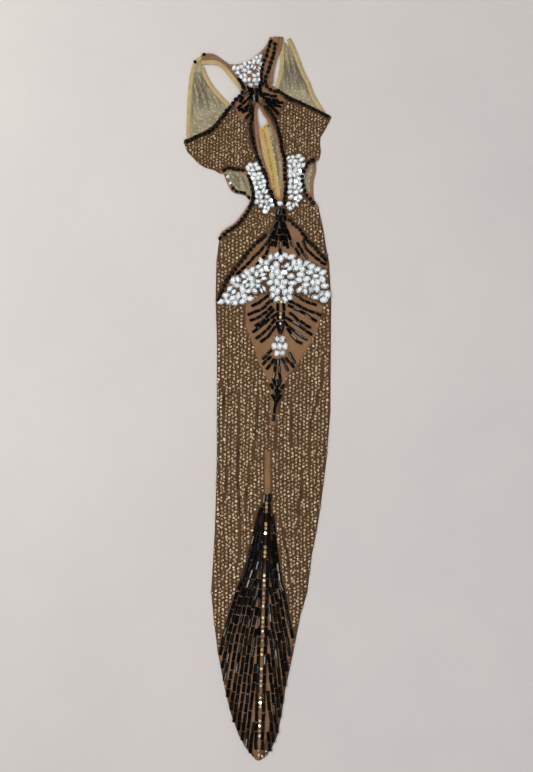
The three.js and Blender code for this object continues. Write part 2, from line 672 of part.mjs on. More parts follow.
function crossBar(radius, halfLength) {
  const geometry = new THREE.CylinderGeometry(radius, radius, 2 * halfLength, HINGE.sides);
  geometry.rotateZ(Math.PI / 2);
  geometry.translate(0, HINGE.y, HINGE.z);
  return solidOf(geometry);
}

function zipSlider() {
  const { halfWidth, mouth, foot, plate, postHalfWidth } = SLIDER;
  const low = FRONT_BED - SEAM_GAP;
  const high = COIL_TOP + SEAM_GAP;
  const across = [-halfWidth, halfWidth];
  const lugs = [[-LUG.outer, -LUG.inner], [LUG.inner, LUG.outer]]
    .map((sides) => block(sides, [LUG.front, LUG.back], [LUG.low, low]));
  return geometryOf([
    block(across, [foot, mouth], [high, high + plate]),
    block([-postHalfWidth, postHalfWidth], [SEAM_GAP, mouth], [low - plate / 2, high + plate / 2]),
    ...lugs,
    crossBar(HINGE.pin, (LUG.inner + LUG.outer) / 2),
  ].reduce((slider, piece) => slider.add(piece), block(across, [foot, mouth], [low - plate, low])));
}

function pullTab() {
  const { neckHalfWidth, gripHalfWidth, gripStart, end, thickness } = TAB;
  const height = [HINGE.z - thickness / 2, HINGE.z + thickness / 2];
  const neck = block([-neckHalfWidth, neckHalfWidth], [gripStart - 1, HINGE.y], height);
  const grip = block([-gripHalfWidth, gripHalfWidth], [end, gripStart], height);
  return geometryOf(crossBar(HINGE.eye, neckHalfWidth).add(neck).add(grip)
    .subtract(crossBar(HINGE.hole, neckHalfWidth + 1)));
}

// ---- Build -----------------------------------------------------------------------------------

const gown = new THREE.Group();

function addMesh(name, geometry, material, parent = gown) {
  const mesh = new THREE.Mesh(geometry, material);
  mesh.name = name;
  parent.add(mesh);
  return mesh;
}

const beaded = () => finish(COLOURS.beadedMesh, 0.4, 0.3);
const tan = () => finish(COLOURS.tanElastic, 0.75);
const yellow = () => finish(COLOURS.yellowElastic, 0.8);

const beadedCloth = frontRelief().reduce((cloth, piece) => cloth.add(piece), frontCloth());
const front = frontOpenings().reduce((cloth, outline) => cloth.subtract(cutter(outline)), beadedCloth);
addMesh('front', geometryOf(front), beaded());
addMesh('keyhole_binding', binding(keyhole, BINDING_WIDTH, 1, frontFloor, true), tan());
addMesh('neckline_binding', binding(neckline, BINDING_WIDTH, -1, frontFloor), tan());
addMesh('strap_binding_left', binding(leftStrapEdge, ELASTIC_WIDTH, 1, frontFloor), yellow());
addMesh('strap_binding_right', binding(rightStrapEdge, BINDING_WIDTH, -1, frontFloor), tan());
addMesh('waist_binding_left', binding(leftWaistEdge, BINDING_WIDTH, 1, level(FRONT_BED)), tan());
addMesh('waist_binding_right', binding(rightWaistEdge, BINDING_WIDTH, -1, level(FRONT_BED)), tan());

for (const side of ['left', 'right']) {
  const { arm, neck, waist, armInside, neckInside } = backEdges[side];
  addMesh(`back_${side}`, backPanel(side), finish(COLOURS.meshInside, 0.8));
  addMesh(`back_arm_binding_${side}`, binding(arm, ELASTIC_WIDTH, armInside, level(0)), yellow());
  addMesh(`back_neck_binding_${side}`, binding(neck, ELASTIC_WIDTH, neckInside, level(0)), yellow());
  addMesh(`back_waist_binding_${side}`, binding(waist, BINDING_WIDTH, armInside, level(0)), tan());
  const section = side === 'left' ? TAPE_SECTION : mirrored(TAPE_SECTION);
  addMesh(`zip_tape_${side}`, strip(zipLine, section, level(0)), finish(COLOURS.zipTape, 0.7));
}

const zipTop = new THREE.Group();
zipTop.position.set(zipLine[0].x, zipLine[0].y, 0);
zipTop.rotation.z = Math.atan2(zipLine[1].x - zipLine[0].x, zipLine[0].y - zipLine[1].y);
gown.add(zipTop);
addMesh('zip_slider', zipSlider(), finish(COLOURS.brass, 0.4, 0.9), zipTop);
addMesh('zip_pull_tab', pullTab(), finish(COLOURS.brass, 0.4, 0.9), zipTop);

export default gown;
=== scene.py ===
"""A crystal-beaded stage gown that lies flat on its back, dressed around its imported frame."""

import logging
import math
from dataclasses import dataclass, field
from enum import Enum
from typing import Callable, ClassVar, Sequence

import bmesh
import bpy
import numpy as np
from mathutils import Matrix, Vector
from mathutils.kdtree import KDTree


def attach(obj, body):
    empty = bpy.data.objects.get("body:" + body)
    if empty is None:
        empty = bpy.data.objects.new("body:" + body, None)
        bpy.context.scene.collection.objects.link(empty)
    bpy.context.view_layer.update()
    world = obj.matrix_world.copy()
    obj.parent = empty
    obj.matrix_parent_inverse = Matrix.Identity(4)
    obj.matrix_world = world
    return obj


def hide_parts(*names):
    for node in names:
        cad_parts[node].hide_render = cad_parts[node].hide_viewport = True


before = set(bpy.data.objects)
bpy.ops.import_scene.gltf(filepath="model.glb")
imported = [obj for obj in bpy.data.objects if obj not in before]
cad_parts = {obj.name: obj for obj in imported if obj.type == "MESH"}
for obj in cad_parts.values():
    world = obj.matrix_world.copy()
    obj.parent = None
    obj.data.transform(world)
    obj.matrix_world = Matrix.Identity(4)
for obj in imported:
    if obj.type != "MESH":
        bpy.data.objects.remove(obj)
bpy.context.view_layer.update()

LOG = logging.getLogger("gown")

MM = 0.001
DRAW = np.random.default_rng(38)
CURVE_DIVISIONS = 200

WALL = 2.2
SEAM_GAP = 0.3
FRONT_BED = WALL + SEAM_GAP
SIDE_ROLL = 6.0
BACK_INSET = SIDE_ROLL + SEAM_GAP
CLOTH = 0.8
ELASTIC_WIDTH = 10.0
BINDING_WIDTH = 7.0
BOUND = BINDING_WIDTH + SEAM_GAP
STRAP_BOUND = ELASTIC_WIDTH + SEAM_GAP
TOP_EDGE = 831.5
ZIP_END = 227.0
ZIP_CHANNEL = 4.5

CUT_SNAP = 0.02
SLIVER = 0.05
# Facets that face up get a painted highlight and steep facets painted shade, and every facet a random
# painted glint.
FLAT_FACE = 0.97
STEEP_FACE = 0.25
STEEP_FACET_SHADE = -0.7
RANDOM_GLINT = 0.62
TABLE_GLINT = 0.38

Colour = tuple[float, float, float]
Size = tuple[float, float, float]
Places = Sequence[tuple[float, float]]
Heights = Callable[[np.ndarray], np.ndarray]
UP = (0.0, 0.0, 1.0)


class Body(Enum):
    """The moving part that every piece here rides on."""

    GOWN = "gown"


class Slot(Enum):
    """The finishes that a piece can take."""

    BEADED = "beaded_mesh"
    INSIDE = "mesh_inside"
    YELLOW = "yellow_elastic"
    TAN = "tan_elastic"
    TAPE = "zip_tape"


# ---- Lines in plan ---------------------------------------------------------------------------


def layout(places: Places) -> np.ndarray:
    """Turns squares of the layout grid, counted right and down, into millimetres.

    Args:
        places: Pairs of columns and rows on the grid.

    Returns:
        An array of x and y in millimetres.
    """
    square, zero = 2.3, (257.5, 398.5)
    return (np.asarray(places, float) - zero) * (square, -square)


@dataclass
class Line:
    """A line in plan, in millimetres, as points in order."""

    points: np.ndarray
    closed: bool = False

    @classmethod
    def smooth(cls, knots: Places, steps: int, closed: bool = False) -> "Line":
        """Makes an evenly spaced line that passes smoothly through its knots.

        Args:
            knots: Points that the line passes through.
            steps: Number of equal steps along it.
            closed: Whether the line comes back to its first knot.

        Returns:
            The line, with steps + 1 points if open and steps points if closed.
        """
        p = np.asarray(knots, float)
        count = len(p)
        spans = count if closed else count - 1
        wanted = np.linspace(0, spans, CURVE_DIVISIONS + 1)
        i = np.minimum(wanted.astype(int), spans - 1)
        t = (wanted - i)[:, None]
        pick = (lambda k: p[k % count]) if closed else (lambda k: p[np.clip(k, 0, count - 1)])
        a, b, c, d = pick(i - 1), pick(i), pick(i + 1), pick(i + 2)
        if closed:
            gaps = [np.sqrt(np.linalg.norm(v - u, axis=1))[:, None]
                    for u, v in ((a, b), (b, c), (c, d))]
            start = ((b - a) / gaps[0] - (c - a) / (gaps[0] + gaps[1]) + (c - b) / gaps[1]) * gaps[1]
            end = ((c - b) / gaps[1] - (d - b) / (gaps[1] + gaps[2]) + (d - c) / gaps[2]) * gaps[1]
        else:
            start, end = (c - a) / 2, (d - b) / 2
        curve = ((2 * b - 2 * c + start + end) * t ** 3
                 + (-3 * b + 3 * c - 2 * start - end) * t ** 2 + start * t + b)
        along = np.concatenate([[0], np.cumsum(np.linalg.norm(np.diff(curve, axis=0), axis=1))])
        even = np.linspace(0, along[-1], steps + 1)
        spaced = np.stack([np.interp(even, along, curve[:, k]) for k in (0, 1)], axis=1)
        return cls(spaced[:-1] if closed else spaced, closed)

    def offset(self, distance: float) -> "Line":
        """Returns the line moved sideways, to the left of its direction if positive."""
        p = self.points
        if self.closed:
            run = np.roll(p, -1, axis=0) - np.roll(p, 1, axis=0)
        else:
            padded = np.concatenate([p[:1], p, p[-1:]])
            run = padded[2:] - padded[:-2]
        run = run / np.linalg.norm(run, axis=1)[:, None]
        return Line(p + distance * np.stack([-run[:, 1], run[:, 0]], axis=1), self.closed)

    def lengths(self) -> np.ndarray:
        """Returns how far along the line each of its points lies."""
        steps = np.linalg.norm(np.diff(self.points, axis=0), axis=1)
        return np.concatenate([[0], np.cumsum(steps)])

    def at(self, distance: np.ndarray) -> tuple[np.ndarray, np.ndarray]:
        """Finds places along the line.

        Args:
            distance: How far along the line each place lies.

        Returns:
            The places, and the direction of the line at each, in radians.
        """
        along = self.lengths()
        place, ahead, behind = (
            np.stack([np.interp(distance + step, along, self.points[:, k]) for k in (0, 1)], axis=1)
            for step in (0, 0.5, -0.5))
        run = ahead - behind
        return place, np.arctan2(run[:, 1], run[:, 0])

    def nearest(self, places: np.ndarray) -> tuple[np.ndarray, np.ndarray]:
        """Measures how far places lie from the line.

        Args:
            places: Points in plan.

        Returns:
            The distances, and the share along the line of each nearest point.
        """
        best, share = np.full(len(places), np.inf), np.zeros(len(places))
        spans = len(self.points) - 1
        for i in range(spans):
            start, run = self.points[i], self.points[i + 1] - self.points[i]
            t = np.clip(((places - start) @ run) / (run @ run), 0, 1)
            far = np.linalg.norm(places - start - t[:, None] * run, axis=1)
            closer = far < best
            best[closer], share[closer] = far[closer], (i + t[closer]) / spans
        return best, share


def drawn(knots: Places, steps: int, closed: bool = False) -> Line:
    """Returns a dataclass field that holds a smooth line."""
    return field(default_factory=lambda: Line.smooth(knots, steps, closed))


def level(height: float) -> Heights:
    """Returns a form that has one height everywhere."""
    return lambda places: np.full(len(places), height)


def loop_line(loop: np.ndarray) -> Line:
    """Returns a loop as a line that ends where it starts."""
    return Line(np.concatenate([loop, loop[:1]]))


def staggered(low: Sequence[float], high: Sequence[float], pitch: Sequence[float]) -> np.ndarray:
    """Fills a box with columns of places, every second column half a step higher.

    Args:
        low: The box's lower left corner.
        high: Its upper right corner.
        pitch: The distance between columns, and between places in a column.

    Returns:
        The places, column by column.
    """
    found = []
    for k, x in enumerate(np.arange(low[0], high[0], pitch[0])):
        rows = np.arange(low[1] + (pitch[1] / 2 if k % 2 else 0), high[1], pitch[1])
        found.append(np.column_stack([np.full(len(rows), x), rows]))
    return np.concatenate(found)


def inside(places: np.ndarray, loop: np.ndarray) -> np.ndarray:
    """Tells which places lie inside a closed loop.

    Args:
        places: Points in plan.
        loop: The corners of the loop.

    Returns:
        True for each place inside.
    """
    x, y = places[:, 0], places[:, 1]
    odd = np.zeros(len(places), bool)
    for (x0, y0), (x1, y1) in zip(loop, np.roll(loop, -1, axis=0)):
        if y0 == y1:
            continue
        crosses = ((y0 > y) != (y1 > y)) & (x < (x1 - x0) * (y - y0) / (y1 - y0) + x0)
        odd ^= crosses
    return odd


# ---- The gown's cut and form -----------------------------------------------------------------


@dataclass(frozen=True)
class Crease:
    """A soft ridge in the cloth: pressed into the skirt, or drawn up by the elastic."""

    start: tuple[float, float]
    end: tuple[float, float]
    width: float
    height: float


@dataclass
class GownCut:
    """The cut lines of the gown in plan, in millimetres."""

    sections: Sequence[tuple[float, float, float]] = (
        (831.5, -169, 169), (645, -169, 169), (613, -169, 152), (600, -169, 144), (588, -169, 143),
        (567, -161, 145), (555, -149, 143), (541, -136, 137), (532, -122, 136), (525, -99, 136),
        (516, -84, 136), (438, -84, 140), (383, -84, 152), (355, -89, 156), (314, -94, 164),
        (227, -96, 169), (135, -93, 168), (-31, -93, 167), (-142, -93, 158), (-252, -96, 144),
        (-307, -98, 135), (-362, -101, 124), (-445, -106, 114), (-500, -101, 98), (-583, -91, 82),
        (-666, -75, 64), (-721, -62, 56), (-776, -42, 45), (-804, -26, 32), (-823, -11, 18),
        (-831.5, -2, 6),
    )
    keyhole: Line = drawn((
        (0, 673), (14, 650), (24, 636), (35, 615), (45, 584), (53, 551), (58, 512), (57, 484),
        (50, 456), (34, 479), (26, 512), (10, 556), (3, 595), (0, 630)), 36, True)
    strap_top: Line = drawn(
        ((-128, 792), (-102, 792), (-84, 781), (-67, 769)), 8)
    neckline: Line = drawn((
        (-66, 768), (-48, 767), (-29, 772), (-10, 781), (6, 795), (20, 811), (29, 831)), 16)
    strap_left: Line = drawn((
        (-128, 766), (-107, 768), (-86, 762), (-66, 740), (-49, 719), (-37, 704)), 12)
    strap_right: Line = drawn(
        ((58, 830), (55, 804), (46, 785), (40, 765), (36, 744), (35, 723)), 12)
    bust_left: Line = drawn((
        (-38, 700), (-54, 683), (-82, 651), (-104, 627), (-130, 611), (-162, 596), (-175, 592)), 16)
    bust_right: Line = drawn(
        ((42, 714), (60, 703), (88, 688), (116, 675), (145, 661), (176, 645)), 12)
    waist_left: Line = drawn((
        (-84, 516), (-72, 520), (-59, 523), (-42, 521), (-30, 516), (-24, 507), (-19, 489),
        (-16, 466), (-19, 450), (-27, 436), (-40, 418), (-54, 402), (-70, 392), (-82, 383),
        (-87, 376)), 26)
    waist_right: Line = drawn((
        (138, 547), (132, 543), (121, 535), (113, 521), (108, 505), (110, 489), (116, 475),
        (124, 463), (133, 450), (139, 442)), 18)
    back_arm_left: Line = drawn((
        (-122, 791), (-141, 781), (-150, 765), (-157, 733), (-161, 687), (-163, 641), (-163, 602),
        (-159, 584)), 20)
    back_neck_left: Line = drawn((
        (-122, 762), (-113, 738), (-96, 712), (-77, 691), (-63, 677), (-29, 648), (-4, 628),
        (7, 622)), 16)
    back_waist_left: Line = drawn((
        (-77, 514), (-73, 503), (-66, 487), (-58, 475), (-46, 470), (-33, 468), (-21, 459),
        (-15, 446), (-21, 431), (-36, 413), (-50, 399), (-66, 388), (-78, 377)), 24)
    back_arm_right: Line = drawn((
        (76, 829), (88, 804), (100, 772), (109, 749), (120, 728), (128, 705), (139, 684), (155, 659),
        (161, 645)), 16)
    back_neck_right: Line = drawn((
        (50, 829), (52, 800), (51, 765), (46, 736), (40, 716), (31, 675), (24, 645), (16, 624)), 18)
    back_waist_right: Line = drawn(
        ((134, 544), (134, 521), (130, 507), (128, 489), (128, 470), (131, 452), (133, 438)), 12)
    centre_back: Line = drawn((
        (11.5, 623), (29, 544), (41, 463), (42, 365), (38, 227), (24, -118), (10, -463),
        (3, -820)), 60)
    back_hem_start: float = -804.0
    left_cutout: tuple[float, float] = (517, 375)
    right_cutout: tuple[float, float] = (548, 441)

    def zip_line(self) -> Line:
        """Returns the part of the centre-back line that the zip closes."""
        return Line(self.centre_back.points[self.centre_back.points[:, 1] > ZIP_END])

    def side(self, rows: np.ndarray | float, column: int) -> np.ndarray:
        """Returns the x of a side, 1 for the left and 2 for the right, at heights y."""
        table = np.asarray(self.sections)[::-1]
        return np.interp(rows, table[:, 0], table[:, column])

    def side_run(self, column: int, high: float, low: float, inset: float = 0.0) -> np.ndarray:
        """Follows a side of the gown downwards.

        Args:
            column: 1 for the left side and 2 for the right.
            high: The height y that the run starts at.
            low: The height y that it ends at.
            inset: How far inside the side it runs.

        Returns:
            The points of the run.
        """
        rows = [high, *(row[0] for row in self.sections if low < row[0] < high), low]
        inward = inset if column == 1 else -inset
        return np.stack([self.side(np.array(rows), column) + inward, rows], axis=1)

    def front_outline(self) -> np.ndarray:
        """Returns the outline of the front's cloth, where it isn't covered by its bindings."""
        top = [p for p in self.neckline.offset(-BOUND).points if p[1] < TOP_EDGE]
        arm = [p for p in self.strap_right.offset(-BOUND).points if p[1] < TOP_EDGE]
        bust_right = [p for p in self.bust_right.points if p[0] < self.side(p[1], 2)]
        bust_left = [p for p in self.bust_left.points if p[0] > self.side(p[1], 1)]
        corners = [(top[-1][0] + 1, TOP_EDGE), (arm[0][0], TOP_EDGE)]
        low = self.sections[-1][0]
        runs = [
            self.strap_top.points, top, corners, arm, bust_right,
            self.side_run(2, bust_right[-1][1] - 3, self.right_cutout[0]),
            self.waist_right.offset(-BOUND).points,
            self.side_run(2, self.right_cutout[1], low),
            self.side_run(1, self.left_cutout[1], low)[::-1],
            self.waist_left.offset(BOUND).points[::-1],
            self.side_run(1, bust_left[-1][1] - 1, self.left_cutout[0])[::-1], bust_left[::-1],
            self.strap_left.offset(STRAP_BOUND).points[::-1],
        ]
        return np.concatenate([np.asarray(run, float) for run in runs])

    def back_outline(self, left: bool) -> np.ndarray:
        """Returns the outline of one half of the back's cloth."""
        turn = 1 if left else -1
        arm, neck, waist = ((self.back_arm_left, self.back_neck_left, self.back_waist_left) if left
                            else (self.back_arm_right, self.back_neck_right, self.back_waist_right))
        column = 1 if left else 2
        centre, zip_run = self.centre_back.points, self.zip_line()
        seam = Line(centre[centre[:, 1] <= ZIP_END]).offset(-turn * SEAM_GAP / 2).points
        runs = [
            arm.offset(turn * STRAP_BOUND).points[1:-1],
            self.side_run(column, arm.points[-1][1], waist.points[0][1], BACK_INSET)[1:],
            waist.offset(turn * BOUND).points[1:-1],
            self.side_run(column, waist.points[-1][1] - 1, self.back_hem_start, BACK_INSET),
            seam[::-1], zip_run.offset(-turn * ZIP_CHANNEL).points[::-1],
            neck.offset(-turn * STRAP_BOUND).points[1:-1][::-1],
        ]
        return np.concatenate(runs)


@dataclass
class FrontForm:
    """The heights of the front's cloth over the surface, in millimetres."""

    cut: GownCut
    creases: Sequence[Crease] = (
        Crease((-2, -12), (-9, -132), 15, 2.6), Crease((-48, -40), (-44, -205), 14, 2.0),
        Crease((-38, -255), (-47, -380), 15, 1.8), Crease((150, 100), (136, -6), 14, 2.6),
        Crease((126, -40), (118, -170), 15, 2.2), Crease((79, -20), (77, -100), 16, 1.4),
    )
    crease_profile: tuple[Sequence[float], Sequence[float]] = ((0, 0.45, 1), (1, 0.7, 0))
    zip_rise: float = 2.5
    zip_flat: float = 13.0
    zip_foot: float = 27.0

    def rise(self, places: np.ndarray) -> np.ndarray:
        """Returns how far the cloth stands above its bed at each place."""
        far, _ = self.cut.zip_line().nearest(places)
        highest = self.zip_rise * np.clip((self.zip_foot - far) / (self.zip_foot - self.zip_flat), 0, 1)
        for crease in self.creases:
            far, share = Line.smooth((crease.start, crease.end), 8).nearest(places)
            form = np.interp(far / crease.width, *self.crease_profile)
            highest = np.maximum(highest, crease.height * form * np.sin(np.pi * share))
        return highest

    def turn(self, places: np.ndarray) -> np.ndarray:
        """Returns how far the side has turned down: 0 at the edge and 1 inside the roll."""
        x, y = places[:, 0], places[:, 1]
        inset = np.minimum(x - self.cut.side(y, 1), self.cut.side(y, 2) - x)
        return np.sin(np.clip(inset / SIDE_ROLL, 0, 1) * np.pi / 2)

    def floor(self, places: np.ndarray) -> np.ndarray:
        """Returns the height of the cloth's underside at each place."""
        return (FRONT_BED + self.rise(places)) * self.turn(places)

    def normals(self, places: np.ndarray) -> np.ndarray:
        """Returns the direction that the cloth's upper side faces at each place."""
        reach = 1.5
        slope = [(self.floor(places + step) - self.floor(places - step)) / (2 * reach)
                 for step in ((reach, 0), (0, reach))]
        up = np.stack([-slope[0], -slope[1], np.ones(len(places))], axis=1)
        return up / np.linalg.norm(up, axis=1)[:, None]


# ---- Meshes ----------------------------------------------------------------------------------


def add_object(name: str, mesh: bpy.types.Mesh, material: bpy.types.Material) -> bpy.types.Object:
    """Puts a finished mesh in the scene.

    Args:
        name: The name of the piece.
        mesh: Its mesh, in metres.
        material: Its finish.

    Returns:
        The new object, at the origin.
    """
    mesh.name = name
    mesh.materials.append(material)
    made = bpy.data.objects.new(name, mesh)
    bpy.context.scene.collection.objects.link(made)
    return made


def hand_over(piece: bpy.types.Object, slot: Slot, node: str) -> bpy.types.Object:
    """Fixes a piece to its body, and hides the CAD node that it stands for.

    Args:
        piece: The finished piece.
        slot: The finish that it takes; not used.
        node: The CAD node that it stands for.

    Returns:
        The piece.
    """
    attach(piece, Body.GOWN.value)
    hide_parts(node)
    LOG.info("%s: %d vertices", piece.name, len(piece.data.vertices))
    return piece


def mesh_from(bm: bmesh.types.BMesh, name: str, smooth: bool = True) -> bpy.types.Mesh:
    """Turns a bmesh in millimetres into a mesh in metres."""
    bmesh.ops.scale(bm, vec=(MM, MM, MM), verts=bm.verts)
    for face in bm.faces:
        face.smooth = smooth
    mesh = bpy.data.meshes.new(name)
    bm.to_mesh(mesh)
    bm.free()
    return mesh


def gridded_panel(loops: Sequence[np.ndarray], rows: np.ndarray,
                  columns: np.ndarray) -> bmesh.types.BMesh:
    """Fills an outline and divides it into a grid of small faces.

    Args:
        loops: The outline, and the outlines of its holes.
        rows: The heights y that it is cut at.
        columns: The places x that it is cut at.

    Returns:
        A flat bmesh that faces up.
    """
    bm = bmesh.new()
    for loop in loops:
        corners = [bm.verts.new((x, y, 0)) for x, y in loop]
        for a, b in zip(corners, corners[1:] + corners[:1]):
            bm.edges.new((a, b))
    bmesh.ops.triangle_fill(bm, use_beauty=True, use_dissolve=False, edges=bm.edges[:],
                            normal=(0, 0, 1))
    bmesh.ops.recalc_face_normals(bm, faces=bm.faces[:])
    if sum(face.normal.z * face.calc_area() for face in bm.faces) < 0:
        bmesh.ops.reverse_faces(bm, faces=bm.faces[:])
    for axis, cuts in ((1, rows), (0, columns)):
        for cut in cuts:
            place, normal = np.zeros(3), np.zeros(3)
            place[axis], normal[axis] = cut, 1
            bmesh.ops.bisect_plane(bm, geom=[*bm.verts, *bm.edges, *bm.faces],
                                   dist=CUT_SNAP, plane_co=place, plane_no=normal)
    bmesh.ops.dissolve_degenerate(bm, dist=SLIVER, edges=bm.edges[:])
    return bm


def lift(bm: bmesh.types.BMesh, heights: Heights) -> np.ndarray:
    """Raises every point of a flat panel to its height.

    Args:
        bm: The panel.
        heights: Gives the height at each place in plan.

    Returns:
        The places of the points in plan.
    """
    places = np.array([vert.co[:2] for vert in bm.verts])
    for vert, height in zip(bm.verts, heights(places)):
        vert.co.z = height
    return places


def set_layer(mesh: bpy.types.Mesh, name: str, values: np.ndarray, domain: str = "POINT") -> None:
    """Writes a value for each point or face, for the finishes to read."""
    layer = mesh.attributes.new(name=name, type="FLOAT", domain=domain)
    layer.data.foreach_set("value", np.asarray(values, np.float32))


def sweep(line: Line, section: Places, floor: Heights) -> bmesh.types.BMesh:
    """Draws a section along a line.

    Args:
        line: The line in plan.
        section: Corners of the section, as distances to the line's left and heights.
        floor: Gives the height that the section stands on at each place.

    Returns:
        A bmesh with the distance along and across it in the layers along and across.
    """
    bm = bmesh.new()
    along_layer = bm.verts.layers.float.new("along")
    across_layer = bm.verts.layers.float.new("across")
    sides = np.stack([line.offset(across).points for across, _ in section], axis=1)
    grounds = np.stack([floor(sides[:, k]) for k in range(len(section))], axis=1)
    reach = line.lengths()
    ring: list[bmesh.types.BMVert] = []
    first: list[bmesh.types.BMVert] = []
    for i in range(len(line.points)):
        if not ring:
            ring = [bm.verts.new() for _ in section]
            edges = [bm.edges.new((a, b)) for a, b in zip(ring, ring[1:] + ring[:1])]
            first = ring
        else:
            made = set(bmesh.ops.extrude_edge_only(bm, edges=edges)["geom"])
            ring = [next(e.other_vert(v) for e in v.link_edges if e.other_vert(v) in made)
                    for v in ring]
            edges = [next(e for e in a.link_edges if e.other_vert(a) is b)
                     for a, b in zip(ring, ring[1:] + ring[:1])]
        for k, vert in enumerate(ring):
            vert.co = (*sides[i, k], grounds[i, k] + section[k][1])
            vert[along_layer], vert[across_layer] = reach[i], section[k][0]
    if line.closed:
        start = {e for v in first for e in v.link_edges if e.other_vert(v) in first}
        bmesh.ops.bridge_loops(bm, edges=[*edges, *start])
    else:
        bmesh.ops.holes_fill(bm, edges=bm.edges[:], sides=len(section))
    bmesh.ops.recalc_face_normals(bm, faces=bm.faces[:])
    return bm


@dataclass(frozen=True)
class Template:
    """One small shape, a unit long and wide, that is repeated many times."""

    points: np.ndarray
    faces: tuple[tuple[int, ...], ...]
    # How much painted light each face takes by the way it faces: painted highlight on tables, painted
    # shade on steep facets.
    facet_light: np.ndarray
    crown: ClassVar[Sequence[tuple[float, float, int]]] = ((0.34, 1.0, 0), (0.42, 0.72, 1),
                                                           (0.24, 0.78, 1))
    drawn_in: ClassVar[float] = 0.72

    @classmethod
    def of(cls, bm: bmesh.types.BMesh) -> "Template":
        """Takes the shape of a bmesh, and frees it."""
        bmesh.ops.recalc_face_normals(bm, faces=bm.faces[:])
        bm.normal_update()
        bm.verts.index_update()
        # Painted light by facet direction: 1 for a painted highlight, a negative value for painted
        # shade.
        facet_light = [1.0 if face.normal.z > FLAT_FACE else STEEP_FACET_SHADE if face.normal.z < STEEP_FACE
                  else 0.0 for face in bm.faces]
        made = cls(np.array([vert.co[:] for vert in bm.verts]),
                   tuple(tuple(vert.index for vert in face.verts) for face in bm.faces),
                   np.array(facet_light))
        bm.free()
        return made

    @classmethod
    def lying(cls, bm: bmesh.types.BMesh) -> "Template":
        """Takes the shape of an upright bmesh that is laid down along X."""
        bmesh.ops.rotate(bm, cent=(0, 0, 0), matrix=Matrix.Rotation(math.pi / 2, 3, "Y"),
                         verts=bm.verts)
        bmesh.ops.translate(bm, vec=(0, 0, 0.5), verts=bm.verts)
        return cls.of(bm)

    @classmethod
    def crystal(cls, sides: int = 6, table: float = 0.82) -> "Template":
        """Makes a low crystal with slanted facets and a flat table."""
        bm = bmesh.new()
        bmesh.ops.create_cone(bm, cap_ends=True, cap_tris=True, segments=sides, radius1=0.5,
                              radius2=table / 2, depth=1)
        bmesh.ops.translate(bm, vec=(0, 0, 0.5), verts=bm.verts)
        return cls.of(bm)

    @classmethod
    def cut_stone(cls, sides: int, point: float) -> "Template":
        """Makes a large cut stone.

        Args:
            sides: Facets round the stone.
            point: How far its two ends are drawn to a point, from 0 to 1.

        Returns:
            The stone: a girdle, a turned row of crown facets and a table.
        """
        bm = bmesh.new()
        bmesh.ops.create_circle(bm, cap_ends=True, segments=sides, radius=0.5)
        table = next(iter(bm.faces))
        for height, scale, turn in cls.crown:
            table = bmesh.ops.extrude_discrete_faces(bm, faces=[table])["faces"][0]
            bmesh.ops.translate(bm, vec=(0, 0, height), verts=table.verts)
            bmesh.ops.scale(bm, vec=(scale, scale, 1), verts=table.verts)
            bmesh.ops.rotate(bm, cent=(0, 0, 0), verts=table.verts,
                             matrix=Matrix.Rotation(turn * math.pi / sides, 3, "Z"))
        rim = [edge for edge in bm.edges if edge.is_boundary]
        if rim:
            bmesh.ops.holes_fill(bm, edges=rim, sides=sides)
        bmesh.ops.triangulate(bm, faces=[face for face in bm.faces if len(face.verts) == 4])
        for vert in bm.verts:
            vert.co.y *= 1 - point * (2 * vert.co.x) ** 2 * cls.drawn_in
        return cls.of(bm)

    @classmethod
    def bugle(cls, sides: int = 8) -> "Template":
        """Makes a straight glass tube with rounded ends, along X."""
        bm = bmesh.new()
        bmesh.ops.create_cone(bm, cap_ends=True, segments=sides, radius1=0.5, radius2=0.5, depth=1)
        rims = [edge for edge in bm.edges if abs(edge.verts[0].co.z - edge.verts[1].co.z) < 0.1]
        bmesh.ops.bevel(bm, geom=rims, offset=0.06, segments=1, affect="EDGES", profile=0.5,
                        material=-1)
        return cls.lying(bm)

    @classmethod
    def bead(cls, around: int = 9, rings: int = 6) -> "Template":
        """Makes a plump bead, a little longer along X."""
        bm = bmesh.new()
        bmesh.ops.create_uvsphere(bm, u_segments=around, v_segments=rings, radius=0.5)
        return cls.lying(bm)


def standing(places: np.ndarray, height: float) -> np.ndarray:
    """Returns places in plan at one height."""
    return np.column_stack([places, np.full(len(places), height)])


